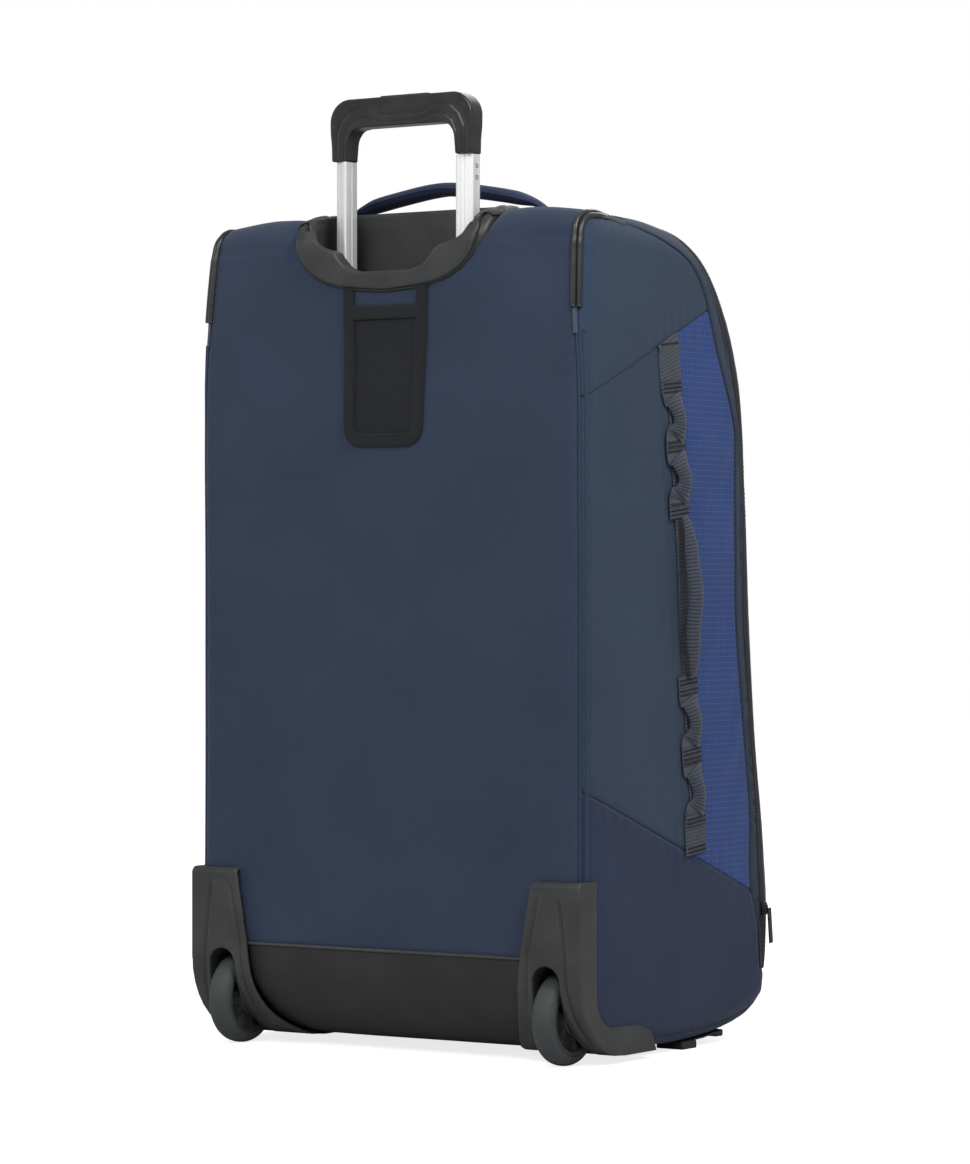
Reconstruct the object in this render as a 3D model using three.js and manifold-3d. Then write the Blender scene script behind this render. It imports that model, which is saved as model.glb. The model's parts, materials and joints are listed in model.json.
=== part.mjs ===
// A large two-wheeled duffel bag as separate solids. Millimetres, +Z up.
// The bag stands on its wheels and feet. Its back (trolley side) faces +Y and its front lid faces -Y.
// The origin is on the floor, at the centre of the bounding box.
import * as THREE from "three";
import { mergeVertices } from "three/addons/utils/BufferGeometryUtils.js";
import Module from "manifold-3d";

const wasm = await Module();
wasm.setup();

// ---------------------------------------------------------------- driving dimensions
const HALF_WIDTH = 220; // bag body, side face to centre
const BACK_Y = 175; // outer face of the back panel
const TOP_Z = 792; // top of the fabric body
const BOTTOM_Z = 10; // underside of the body at the back
const WALL = 6; // padded fabric wall
const GAP = 0.3; // clearance between neighbouring pieces

const TOP_RADIUS = 37; // back panel rolling over the top
const KICK_RADIUS = 80; // back-bottom corner
const KICK_TOP_Z = 97; // upper edge of the kick plate
const KICK_END_Y = 60; // front end of the kick plate, under the bag
const HINGE = [-186, 62]; // lid hinge line (y, z)
const LID_TOP = [-10, 784]; // lid edge where it crosses the top (y, z)
const ZIP_LOW = [-160, 70]; // lower end of the main zip (y, z)
const ZIP_BEND = [-118, 430]; // where the zip turns upright (y, z)

const WHEEL_R = 44;
const WHEEL_W = 24;
const WHEEL_Y = BACK_Y - 24;
const WHEEL_X = 186;
const AXLE_R = 4;
const BEARING_R = 11;
const BEARING_W = 7;

const TUBE_X = 63.3; // inner flat of each trolley tube, from the centre
const TUBE_W = 15.7;
const TUBE_Y = 130; // front flat of each trolley tube
const TUBE_DEPTH_IN = 19.5; // depth of the tube at its inner flat
const TUBE_DEPTH_OUT = 13.5; // depth of the tube at its outer flat
const TUBE_WALL = 1.3;
const GRIP_Z = 851; // underside of the grip's legs as drawn, part extended
const GRIP_TOP = 910;
const TUBE_END_Z = 330; // lower end of the sliding tubes as drawn
const GUIDE_TOP_Z = 725;
const GUIDE_LOW_Z = 110;

const STRAP_W = 38; // side webbing
const STRAP_TOP = [27, 676]; // (y, z) of its centreline's ends
const STRAP_LOW = [-23, 188];

// ---------------------------------------------------------------- materials
const paint = (color, roughness, metalness = 0) =>
  new THREE.MeshStandardMaterial({ color, roughness, metalness });
const MATERIALS = {
  fabric_slate: paint(0x333d52, 0.85),
  fabric_blue: paint(0x33477f, 0.7),
  plastic_black: paint(0x2f3030, 0.55),
  rubber_black: paint(0x2c2f30, 0.75),
  webbing_grey: paint(0x3a3c44, 0.9),
  mesh_black: paint(0x1f2524, 0.9),
  aluminium: paint(0xd8d9d6, 0.3, 0.9),
  steel: paint(0x8d8f92, 0.35, 0.9),
  zinc: paint(0x55575b, 0.35, 0.8),
  board_grey: paint(0x6f7378, 0.7),
  lining_grey: paint(0x8b8f94, 0.9),
};

// ---------------------------------------------------------------- helpers
const V2 = (p) => new THREE.Vector2(p[0], p[1]);

// A geometry as a manifold solid that faces out.
function solid(geometry) {
  const bare = geometry.clone();
  bare.deleteAttribute("normal");
  bare.deleteAttribute("uv");
  const merged = mergeVertices(bare, 1e-3);
  const make = (triVerts) =>
    new wasm.Manifold(
      new wasm.Mesh({ numProp: 3, vertProperties: merged.attributes.position.array, triVerts }),
    );
  const triVerts = new Uint32Array(merged.index.array);
  const made = make(triVerts);
  return made.volume() < 0 ? make(triVerts.reverse()) : made;
}

function geometryOf(body) {
  const mesh = body.getMesh();
  const points = new Float32Array(mesh.numVert * 3);
  for (let i = 0; i < mesh.numVert; i++)
    points.set(mesh.vertProperties.subarray(i * mesh.numProp, i * mesh.numProp + 3), i * 3);
  return new THREE.BufferGeometry()
    .setAttribute("position", new THREE.BufferAttribute(points, 3))
    .setIndex(new THREE.BufferAttribute(mesh.triVerts, 1));
}

const shapeOf = (points) => new THREE.Shape(points.map(V2));
const extrude = (shape, depth, curveSegments = 8) =>
  new THREE.ExtrudeGeometry(shape, { depth, bevelEnabled: false, curveSegments });

// A shape drawn in (y, z), extruded from x0 to x1.
const ROLL = new THREE.Matrix4().set(0, 0, 1, 0, 1, 0, 0, 0, 0, 1, 0, 0, 0, 0, 0, 1);
const alongX = (shape, x0, x1, segments) =>
  solid(extrude(shape, x1 - x0, segments).applyMatrix4(ROLL).translate(x0, 0, 0));
// A shape drawn in (x, z), extruded from y0 to y1.
const alongY = (shape, y0, y1, segments) =>
  solid(extrude(shape, y1 - y0, segments).rotateX(Math.PI / 2).translate(0, y1, 0));
// A shape drawn in (x, y), extruded from z0 to z1.
const alongZ = (shape, z0, z1, segments) =>
  solid(extrude(shape, z1 - z0, segments).translate(0, 0, z0));
// A box from its lowest corner to its highest.
const box = (lo, hi) =>
  solid(
    new THREE.BoxGeometry(hi[0] - lo[0], hi[1] - lo[1], hi[2] - lo[2]).translate(
      (lo[0] + hi[0]) / 2,
      (lo[1] + hi[1]) / 2,
      (lo[2] + hi[2]) / 2,
    ),
  );
// A cylinder along X, Y or Z between two coordinates on that axis.
function rod(axis, radius, from, to, at, sides = 20) {
  const g = new THREE.CylinderGeometry(radius, radius, to - from, sides);
  const mid = (from + to) / 2;
  if (axis === "x") g.rotateZ(Math.PI / 2).translate(mid, at[0], at[1]);
  if (axis === "y") g.translate(at[0], mid, at[1]);
  if (axis === "z") g.rotateX(Math.PI / 2).translate(at[0], at[1], mid);
  return solid(g);
}
const mirrored = (body) => body.mirror([1, 0, 0]);

// A rectangle with rounded corners, centred at (cx, cy).
function roundedRect(w, h, r, cx = 0, cy = 0) {
  const s = new THREE.Shape();
  s.moveTo(cx - w / 2 + r, cy - h / 2);
  s.lineTo(cx + w / 2 - r, cy - h / 2);
  s.absarc(cx + w / 2 - r, cy - h / 2 + r, r, -Math.PI / 2, 0);
  s.lineTo(cx + w / 2, cy + h / 2 - r);
  s.absarc(cx + w / 2 - r, cy + h / 2 - r, r, 0, Math.PI / 2);
  s.lineTo(cx - w / 2 + r, cy + h / 2);
  s.absarc(cx - w / 2 + r, cy + h / 2 - r, r, Math.PI / 2, Math.PI);
  s.lineTo(cx - w / 2, cy - h / 2 + r);
  s.absarc(cx - w / 2 + r, cy - h / 2 + r, r, Math.PI, 1.5 * Math.PI);
  return s;
}

// The points of an open line moved sideways by d, to its left as it runs.
function offsetLine(points, d) {
  return points.map((p, i) => {
    const a = points[Math.max(0, i - 1)];
    const b = points[Math.min(points.length - 1, i + 1)];
    const t = new THREE.Vector2(b[0] - a[0], b[1] - a[1]).normalize();
    return [p[0] - t.y * d, p[1] + t.x * d];
  });
}
// The closed shape between an open line and its copy moved by d.
const bandShape = (points, d) => shapeOf([...points, ...offsetLine(points, d).reverse()]);

// A convex outline grown by d, each edge moved out along its normal.
function grown(points, d) {
  const n = points.length;
  const edges = points.map((p, i) => {
    const q = points[(i + 1) % n];
    const t = new THREE.Vector2(q[0] - p[0], q[1] - p[1]).normalize();
    return { x: p[0] + t.y * d, y: p[1] - t.x * d, tx: t.x, ty: t.y };
  });
  return edges.map((e, i) => {
    const f = edges[(i + n - 1) % n];
    const cross = f.tx * e.ty - f.ty * e.tx;
    const k = ((e.x - f.x) * e.ty - (e.y - f.y) * e.tx) / cross;
    return [f.x + k * f.tx, f.y + k * f.ty];
  });
}

const arc = (cx, cy, r, from, to, steps) =>
  Array.from({ length: steps + 1 }, (_, i) => {
    const a = THREE.MathUtils.degToRad(from + ((to - from) * i) / steps);
    return [cx + r * Math.cos(a), cy + r * Math.sin(a)];
  });
const spline = (points, steps) =>
  new THREE.SplineCurve(points.map(V2)).getPoints(steps).map((p) => [p.x, p.y]);

// ---------------------------------------------------------------- the bag's outline in (y, z)
// Each stretch runs clockwise as seen from -X: under the bag, up the back, over the top, down the front.
const kickLine = [
  [KICK_END_Y, BOTTOM_Z],
  ...arc(BACK_Y - KICK_RADIUS, BOTTOM_Z + KICK_RADIUS, KICK_RADIUS, -90, 0, 9),
  [BACK_Y, KICK_TOP_Z],
];
const backLine = [
  [BACK_Y, KICK_TOP_Z + GAP],
  ...arc(BACK_Y - TOP_RADIUS, TOP_Z - TOP_RADIUS, TOP_RADIUS, 0, 90, 6),
  [100, TOP_Z],
];
const topLine = spline(
  [[100 - GAP, TOP_Z], [57, TOP_Z - 1], [20, TOP_Z - 4], [LID_TOP[0] + 3, LID_TOP[1] + 0.8]],
  5,
);
// The front panel leans back from its bulge low down to the shoulder.
const shoulder = [[-60, 766], [-105, 722], [-136, 658], [-152, 540]];
const bulge = [[-160, 420], [-172, 290], [-188, 185], [-193, 120]];
const lidLine = spline([LID_TOP, ...shoulder, ...bulge, HINGE], 22);
const belly = [[-178, 38], [-155, 23], [-120, 15], [-60, 9], [0, 8]];
const bottomLine = spline(
  [[HINGE[0] + 0.4, HINGE[1] - GAP], ...belly, [KICK_END_Y - GAP, BOTTOM_Z]],
  14,
);
const lidEdge = [
  ZIP_LOW,
  ZIP_BEND,
  ...spline([[-118, 560], [-97, 650], [-63, 731], LID_TOP], 10),
];

// ---------------------------------------------------------------- wheel housings
const HOUSING_TOP_Z = 172;
const HOUSING_REAR_Y = BACK_Y + 9;
const HOUSING_X = HALF_WIDTH + 3; // its outer face
const HOUSING_WALL = 3.5;
const FLANGE_Y = 153; // front edge of the flange on the bag's side
const SLOT_HALF = 15; // half width of the slot the wheel turns in
const WELL_WALL = 6;
const HOUSING_CORNER = [HOUSING_REAR_Y - 78, 85, 78]; // centre (y, z) and radius of the curved corner
// Side view: back flange, curved corner, and the skid that runs forward under the side panel.
const housingSide = [
  [46, 7],
  [100, 7],
  ...arc(...HOUSING_CORNER, -80, 0, 8),
  [HOUSING_REAR_Y, HOUSING_TOP_Z - 4],
  [HOUSING_REAR_Y - 4, HOUSING_TOP_Z],
  [FLANGE_Y, HOUSING_TOP_Z],
  [FLANGE_Y, 68],
  ...arc(FLANGE_Y - 30, 65, 30, -10, -80, 4),
  [78, 34],
  [56, 26],
];
// Back view of the left housing: its inner edge leans in and flares towards the floor.
function housingBack(grow) {
  const s = new THREE.Shape();
  s.moveTo(HOUSING_X + 20, -20);
  s.lineTo(HOUSING_X + 20, HOUSING_TOP_Z + 10);
  s.lineTo(174 - grow, HOUSING_TOP_Z + 10);
  s.quadraticCurveTo(169 - grow, HOUSING_TOP_Z, 167 - grow, HOUSING_TOP_Z - 14);
  s.lineTo(157 - grow, 100);
  s.lineTo(153 - grow, 66);
  s.quadraticCurveTo(148 - grow, 25, 116 - grow, 5);
  s.lineTo(100, -20);
  return s;
}
// The block a housing fills, grown all round; a negative growth gives the space inside its skin,
// which is open on the inner side.
function housingBlock(grow, farX) {
  const skin = alongX(shapeOf(grown(housingSide, grow)), 90, farX);
  return skin.intersect(alongY(housingBack(grow < 0 ? 5 : grow), 20, 200));
}
// The well round the wheel's slot: it stops just inside the skin's outer face at the back.
const WELL_FRONT = WHEEL_Y - WHEEL_R - 6 - WELL_WALL;
const WELL_TOP = WHEEL_R + 56;
function wheelWell(grow) {
  const [y, z, r] = HOUSING_CORNER;
  const side = [
    [WELL_FRONT, 8],
    [100, 8],
    ...arc(y, z, r - 1, -80, 0, 8),
    [HOUSING_REAR_Y - 1, WELL_TOP],
    [WELL_FRONT, WELL_TOP],
  ];
  const half = SLOT_HALF + WELL_WALL + grow;
  return alongX(shapeOf(grown(side, grow)), WHEEL_X - half, WHEEL_X + half);
}
function wheelHousing() {
  const skin = housingBlock(0, HOUSING_X).subtract(housingBlock(-HOUSING_WALL, HOUSING_X - HOUSING_WALL));
  const arch = new THREE.Shape();
  arch.moveTo(WHEEL_X - SLOT_HALF, -20);
  arch.lineTo(WHEEL_X + SLOT_HALF, -20);
  arch.lineTo(WHEEL_X + SLOT_HALF, 79);
  arch.absarc(WHEEL_X, 79, SLOT_HALF, 0, Math.PI);
  const round = rod("x", WHEEL_R + 6, WHEEL_X - 20, WHEEL_X + 20, [WHEEL_Y, WHEEL_R], 36);
  const back = box([WHEEL_X - 20, WHEEL_Y, -20], [WHEEL_X + 20, 200, 120]);
  const slot = round.add(back).intersect(alongY(arch, 80, 190));
  const axleHole = rod("x", AXLE_R + GAP, 160, 215, [WHEEL_Y, WHEEL_R]);
  const headRoom = rod("x", 9, 100, WHEEL_X - SLOT_HALF - WELL_WALL + 1, [WHEEL_Y, WHEEL_R], 16);
  return skin.add(wheelWell(0)).subtract(slot).subtract(axleHole).subtract(headRoom);
}
// The space the fabric leaves free for a housing.
function housingRoom(side) {
  const room = housingBlock(2 * GAP, HOUSING_X + 10).add(wheelWell(2 * GAP));
  return side > 0 ? room : mirrored(room);
}

// ---------------------------------------------------------------- fabric body
const INNER_X = HALF_WIDTH - WALL - GAP; // panels that lie between the two side panels

// The bezel's outline on the back, from (x, z) points of its left half.
const bezelHalf = [
  ...[[0, 724], [46, 728], [69, 734], [84, 742]],
  ...[[97, 755], [104, 772], [106, 790], [115, 804]],
];
const BEZEL_HALF = 105; // half width of the bezel's flange
function bezelOutline(grow) {
  const right = spline(bezelHalf, 12).map(([x, z]) => [x * (1 + grow / BEZEL_HALF), z - grow]);
  const left = right.slice(1).map(([x, z]) => [-x, z]).reverse();
  return shapeOf([...left, ...right, [116 + grow, 830], [-116 - grow, 830]]);
}

function backPanel() {
  const panel = alongX(bandShape(backLine, WALL), -INNER_X, INNER_X);
  return panel
    .subtract(housingRoom(1))
    .subtract(housingRoom(-1))
    .subtract(alongY(bezelOutline(0.6), 90, 190));
}
const topPanel = () => alongX(bandShape(topLine, WALL), -INNER_X, INNER_X);
const bottomPanel = () =>
  alongX(bandShape(bottomLine, WALL), -INNER_X, INNER_X).subtract(housingRoom(1)).subtract(housingRoom(-1));
const kickPlate = () =>
  alongX(bandShape(kickLine, 3.5), -170, 170).subtract(housingRoom(1)).subtract(housingRoom(-1));

function sidePanel(side) {
  const edge = offsetLine(lidEdge, -GAP);
  const shape = shapeOf([...bottomLine, ...kickLine, ...backLine, ...topLine, ...edge.reverse()]);
  const plate = alongX(shape, HALF_WIDTH - WALL, HALF_WIDTH);
  return (side > 0 ? plate : mirrored(plate)).subtract(housingRoom(side));
}

// ---------------------------------------------------------------- lid
const lidPanel = () => alongX(bandShape(lidLine, WALL), -INNER_X, INNER_X);
function lidRim(side) {
  const inner = [[ZIP_LOW[0] - 0.8, ZIP_LOW[1] + 0.6], ...offsetLine(lidEdge, GAP).slice(1, -1)];
  const plate = alongX(shapeOf([...lidLine, ...inner]), HALF_WIDTH - WALL, HALF_WIDTH);
  return side > 0 ? plate : mirrored(plate);
}
// A flat pocket on the front of the lid, from just above its hinge to two thirds of its height.
const POCKET_HALF = 170;
const POCKET_T = 1.7; // thickness of the pocket's cloth
function frontPocket() {
  const stretch = lidLine.filter(([, z]) => z > 85 && z < 600);
  const outer = offsetLine(stretch, -GAP);
  return alongX(bandShape(outer, -POCKET_T), -POCKET_HALF, POCKET_HALF);
}
// A mesh pocket hangs on the lid's inner face.
function meshPocket() {
  const stretch = lidLine.filter(([, z]) => z > 200 && z < 620);
  return alongX(bandShape(offsetLine(stretch, WALL + 2), 1.5), -150, 150);
}

// ---------------------------------------------------------------- zips
const zipTilt = Math.atan2(ZIP_BEND[0] - ZIP_LOW[0], ZIP_BEND[1] - ZIP_LOW[1]);
const onZip = (s) => [ZIP_LOW[0] + s * Math.sin(zipTilt), ZIP_LOW[1] + s * Math.cos(zipTilt)];
const COIL = [3, 2.6]; // half width and height of the zip's coil
function mainZip() {
  const line = [...lidEdge.slice(0, -1), [LID_TOP[0] - 1, LID_TOP[1] + 3.2]];
  const left = offsetLine(line, COIL[0]);
  const right = offsetLine(line, -COIL[0]);
  const side = alongX(shapeOf([...left, ...right.reverse()]), HALF_WIDTH + GAP, HALF_WIDTH + GAP + COIL[1]);
  const bar = box(
    [-HALF_WIDTH - GAP - COIL[1], LID_TOP[0] - COIL[0], LID_TOP[1] + 1.2],
    [HALF_WIDTH + GAP + COIL[1], LID_TOP[0] + COIL[0], LID_TOP[1] + 1.2 + COIL[1]],
  );
  return side.add(mirrored(side)).add(bar);
}
// A slider and its pull in their own frame: the zip runs along Z and the bag's side faces -X.
const SLIDER_X = -(HALF_WIDTH + GAP + COIL[1] + GAP); // the slider's face against the coil
const PULL_PIVOT_X = SLIDER_X - 7;
function sliderBody() {
  const plate = alongX(roundedRect(9, 13, 3), SLIDER_X - 3, SLIDER_X, 3);
  const bridge = box([SLIDER_X - 5.5, -1.2, -4], [SLIDER_X - 2.5, 1.2, 4]);
  return plate.add(bridge);
}
const pullBody = () => box([PULL_PIVOT_X - 1, -3, -34], [PULL_PIVOT_X + 1, 3, 1]);
const SLIDER_AT = 58; // distance of the slider up the straight stretch of the zip
function placeOnZip(body, s) {
  const [y, z] = onZip(s);
  return body.rotate([THREE.MathUtils.radToDeg(-zipTilt), 0, 0]).translate([0, y, z]);
}

// The pocket zip lies across the front, near the pocket's top edge; its slider is at the left.
const POCKET_ZIP_Z = 600;
const lidYAt = (z) => {
  const i = lidLine.findIndex((p) => p[1] < z);
  const [a, b] = [lidLine[i - 1], lidLine[i]];
  return a[0] + ((b[0] - a[0]) * (z - a[1])) / (b[1] - a[1]);
};
const POCKET_SLIDER_X = 150;
function pocketSlider() {
  const y = lidYAt(POCKET_ZIP_Z + 7) - 1;
  const z = POCKET_ZIP_Z;
  return box([POCKET_SLIDER_X - 6, y - 4, z + 1], [POCKET_SLIDER_X + 6, y - 1, z + 10]);
}
function pocketPull() {
  const y = lidYAt(POCKET_ZIP_Z + 7) - 7.5;
  const z = POCKET_ZIP_Z;
  return box([POCKET_SLIDER_X - 3, y - 1, z - 24], [POCKET_SLIDER_X + 3, y + 0.6, z + 7]);
}

// ---------------------------------------------------------------- trolley
// Section of a tube, drawn for the left side (+X): deep inner flat, sloping back, shallow outer flat.
const tubeSection = [
  [TUBE_X + 1.2, TUBE_Y],
  [TUBE_X + TUBE_W - 2, TUBE_Y],
  [TUBE_X + TUBE_W, TUBE_Y + 2],
  [TUBE_X + TUBE_W, TUBE_Y + TUBE_DEPTH_OUT - 1.5],
  [TUBE_X + TUBE_W - 1.6, TUBE_Y + TUBE_DEPTH_OUT + 0.6],
  [TUBE_X + 2.4, TUBE_Y + TUBE_DEPTH_IN],
  [TUBE_X + 1.2, TUBE_Y + TUBE_DEPTH_IN],
  [TUBE_X, TUBE_Y + TUBE_DEPTH_IN - 1.2],
  [TUBE_X, TUBE_Y + 1.2],
];
const TUBE_MID = [TUBE_X + 7, TUBE_Y + 8]; // centre line of the push rod
const PIN_Y = TUBE_Y + 5.5;
function tube(outer, inner, z0, z1) {
  return alongZ(shapeOf(grown(tubeSection, outer)), z0, z1).subtract(
    alongZ(shapeOf(grown(tubeSection, inner)), z0 - 1, z1 + 1),
  );
}
const slidingTube = () => tube(0, -TUBE_WALL, TUBE_END_Z, GRIP_Z - GAP);
const guideTube = () => tube(1.8, 0.6, GUIDE_LOW_Z + GAP, GUIDE_TOP_Z);

const PIN_Z = TUBE_END_Z - 6;
function lockShoe() {
  const plug = alongZ(shapeOf(grown(tubeSection, -TUBE_WALL - GAP)), TUBE_END_Z - 1, TUBE_END_Z + 30);
  const shoe = alongZ(shapeOf(tubeSection), TUBE_END_Z - 14, TUBE_END_Z - GAP);
  return plug
    .add(shoe)
    .subtract(rod("z", 3, TUBE_END_Z - 12, TUBE_END_Z + 40, TUBE_MID, 12))
    .subtract(rod("x", 3.1, TUBE_X + 1.5, TUBE_X + TUBE_W + 5, [PIN_Y, PIN_Z], 14));
}
const lockPin = () => rod("x", 2.7, TUBE_X + 11.4, TUBE_X + TUBE_W + 0.1, [PIN_Y, PIN_Z], 14);
const pushRod = () => rod("z", 2.2, PIN_Z + 5, BUTTON_BAR_Z - GAP, TUBE_MID, 10);

const GRIP_Y = [TUBE_Y - 1.5, TUBE_Y + TUBE_DEPTH_IN + 2];
function gripOutline() {
  const s = new THREE.Shape();
  s.moveTo(80, GRIP_Z);
  s.quadraticCurveTo(81, 866, 85, 876);
  s.lineTo(87, 884);
  s.absarc(61, 884, 26, 0, Math.PI / 2);
  s.lineTo(-61, GRIP_TOP);
  s.absarc(-61, 884, 26, Math.PI / 2, Math.PI);
  s.lineTo(-85, 876);
  s.quadraticCurveTo(-81, 866, -80, GRIP_Z);
  s.lineTo(-62.3, GRIP_Z);
  s.lineTo(-60, 866);
  s.quadraticCurveTo(-57, 882, -43, 882);
  s.lineTo(43, 882);
  s.quadraticCurveTo(57, 882, 60, 866);
  s.lineTo(62.3, GRIP_Z);
  return s;
}
const GRIP_BEVEL = 5;
const BUTTON_PROUD = 2;
const BUTTON_TRAVEL = 2.5;
const BUTTON_BAR_Z = GRIP_TOP - 21; // underside of the bar that joins the button to the push rods
const SPRING_SEAT_Z = GRIP_TOP - 26.5;
function gripBody() {
  const bevelled = new THREE.ExtrudeGeometry(gripOutline(), {
    depth: GRIP_Y[1] - GRIP_Y[0] - 2 * GRIP_BEVEL,
    bevelThickness: GRIP_BEVEL,
    bevelSize: GRIP_BEVEL,
    bevelOffset: -GRIP_BEVEL,
    bevelSegments: 2,
    curveSegments: 5,
  });
  const body = solid(bevelled.rotateX(Math.PI / 2).translate(0, GRIP_Y[1] - GRIP_BEVEL, 0));
  const rodHole = rod("z", 3.2, GRIP_Z - 5, BUTTON_BAR_Z, TUBE_MID, 12);
  const channel = box(
    [-76, TUBE_MID[1] - 4, BUTTON_BAR_Z - BUTTON_TRAVEL - 0.5],
    [76, TUBE_MID[1] + 4, BUTTON_BAR_Z + 6],
  );
  const pocket = alongZ(roundedRect(59, 13, 5, 0, TUBE_MID[1]), BUTTON_BAR_Z, GRIP_TOP + 5, 4);
  const seat = rod("z", 4.6, SPRING_SEAT_Z, BUTTON_BAR_Z, [0, TUBE_MID[1]], 14);
  const cuts = rodHole.add(mirrored(rodHole)).add(channel).add(pocket).add(seat);
  return body.subtract(cuts);
}
function gripButton() {
  const [y, z] = [TUBE_MID[1], BUTTON_BAR_Z];
  const cap = alongZ(roundedRect(58, 12, 4.5, 0, y), z + 6.5, GRIP_TOP + BUTTON_PROUD, 4);
  const bar = box([-74, y - 3, z], [74, y + 3, z + 2.5]);
  const stem = box([-20, y - 3, z + 2], [20, y + 3, z + 7]);
  return cap.add(bar).add(stem);
}
// The return spring, drawn as the sleeve that its coil fills.
const buttonSpring = () =>
  rod("z", 4, SPRING_SEAT_Z + GAP, BUTTON_BAR_Z - GAP, [0, TUBE_MID[1]], 14).subtract(
    rod("z", 2.8, GRIP_Z, GRIP_TOP, [0, TUBE_MID[1]], 14),
  );
function footBracket() {
  const bar = alongZ(roundedRect(180, 47, 6, 0, TUBE_Y + 15), GUIDE_LOW_Z - 12, GUIDE_LOW_Z, 4);
  const spigot = alongZ(shapeOf(grown(tubeSection, 0.2)), GUIDE_LOW_Z - 1, GUIDE_LOW_Z + 20);
  return bar.add(spigot).add(mirrored(spigot));
}

const RECESS_FLOOR_Z = 731;
function handleBezel() {
  const flange = alongY(bezelOutline(0), BACK_Y - 7, BACK_Y + 3);
  const cup = alongZ(roundedRect(200, 62, 16, 0, 137.5), RECESS_FLOOR_Z - 5, TOP_Z + 12, 6);
  const crown = alongZ(roundedRect(226, 76, 16, 0, 141), TOP_Z + 0.6, TOP_Z + 12, 6);
  // rolls the outer corner over with the back panel
  const over = alongX(
    shapeOf([
      [90, 700],
      [BACK_Y + 3, 700],
      [BACK_Y + 3, TOP_Z - TOP_RADIUS],
      ...arc(BACK_Y - TOP_RADIUS, TOP_Z - TOP_RADIUS + 4, TOP_RADIUS + 3, 10, 80, 5),
      [BACK_Y - TOP_RADIUS - 6, TOP_Z + 8],
      [116, TOP_Z + 11],
      [90, TOP_Z + 11],
    ]),
    -130,
    130,
  );
  const recess = alongZ(roundedRect(188, 50, 14, 0, 137), RECESS_FLOOR_Z, 900, 6);
  const lip = shapeOf([
    [-96, 900],
    ...spline([[-95, 792], [-88, 774], [-72, 766], [-58, 762], [-46, 748], [-30, 742]], 10),
    ...spline([[30, 742], [46, 748], [58, 762], [72, 766], [88, 774], [95, 792]], 10),
    [96, 900],
  ]);
  const tubeHole = alongZ(shapeOf(grown(tubeSection, 1.2)), 700, 750);
  return flange
    .add(cup)
    .add(crown)
    .intersect(over)
    .subtract(recess)
    .subtract(alongY(lip, 137, BACK_Y + 10))
    .subtract(tubeHole)
    .subtract(mirrored(tubeHole));
}

// ---------------------------------------------------------------- wheels
// A closed profile of (radius, x) points turned about the wheel's axis.
function turned(points, sides = 32) {
  const g = new THREE.LatheGeometry([...points, points[0]].map(V2), sides);
  return solid(g.rotateZ(-Math.PI / 2).translate(WHEEL_X, WHEEL_Y, WHEEL_R));
}
const HALF_TREAD = WHEEL_W / 2;
const tyre = () =>
  turned([
    [35, -HALF_TREAD + 1],
    [39, -HALF_TREAD],
    [42.5, -HALF_TREAD + 3.5],
    [WHEEL_R, -5],
    [WHEEL_R, 5],
    [42.5, HALF_TREAD - 3.5],
    [39, HALF_TREAD],
    [35, HALF_TREAD - 1],
  ]);
const SPOKES = 6;
const RIM_R = 31;
const BOSS_R = 15;
function hub() {
  const [wide, bore] = [HALF_TREAD - 1, BEARING_R + GAP];
  const rim = turned([[RIM_R, -wide], [35 - GAP, -wide], [35 - GAP, wide], [RIM_R, wide]]);
  const boss = turned([[bore, -wide], [BOSS_R, -wide], [BOSS_R, wide], [bore, wide]], 24);
  let body = rim.add(boss);
  for (let i = 0; i < SPOKES; i++) {
    const bar = new THREE.BoxGeometry(WHEEL_W - 8, 5, RIM_R - BOSS_R + 2);
    const spoke = solid(bar.translate(0, 0, (RIM_R + BOSS_R) / 2))
      .rotate([(360 * i) / SPOKES + 15, 0, 0])
      .translate([WHEEL_X, WHEEL_Y, WHEEL_R]);
    body = body.add(spoke);
  }
  return body;
}
const bearing = (k) => {
  const inner = k * (HALF_TREAD - 1 - BEARING_W);
  const outer = k * (HALF_TREAD - 1);
  return turned([[AXLE_R + GAP, inner], [BEARING_R, inner], [BEARING_R, outer], [AXLE_R + GAP, outer]], 24);
};
function axle() {
  const wellEdge = WHEEL_X - SLOT_HALF - WELL_WALL;
  const shaft = rod("x", AXLE_R, wellEdge - 2, WHEEL_X + SLOT_HALF + WELL_WALL + 5, [WHEEL_Y, WHEEL_R], 20);
  const head = rod("x", 6.5, wellEdge - 5, wellEdge - GAP, [WHEEL_Y, WHEEL_R], 20);
  return shaft.add(head);
}

// ---------------------------------------------------------------- soft handles and trim
// The side strap's own frame: u runs up it, v is outward from the bag's side.
const strapTilt = Math.atan2(STRAP_TOP[0] - STRAP_LOW[0], STRAP_TOP[1] - STRAP_LOW[1]);
const strapLength = Math.hypot(STRAP_TOP[0] - STRAP_LOW[0], STRAP_TOP[1] - STRAP_LOW[1]);
const LOOP_RISE = 15;
const STRAP_T = 2;
const LOOPS = [[40, 84], [106, 150], [340, 382], [398, 438]]; // each loop's ends along u
const HANDLE_SPAN = [174, 320];
const HANDLE_RISE = 25;
// Points of a band that hugs the side at u0 and u1 and bows out between them.
function bow(u0, u1, low, rise, steps) {
  return Array.from({ length: steps + 1 }, (_, i) => {
    const k = i / steps;
    return [u0 + (u1 - u0) * k, low + (rise - low) * Math.sin(Math.PI * k) ** 0.7];
  });
}
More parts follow.
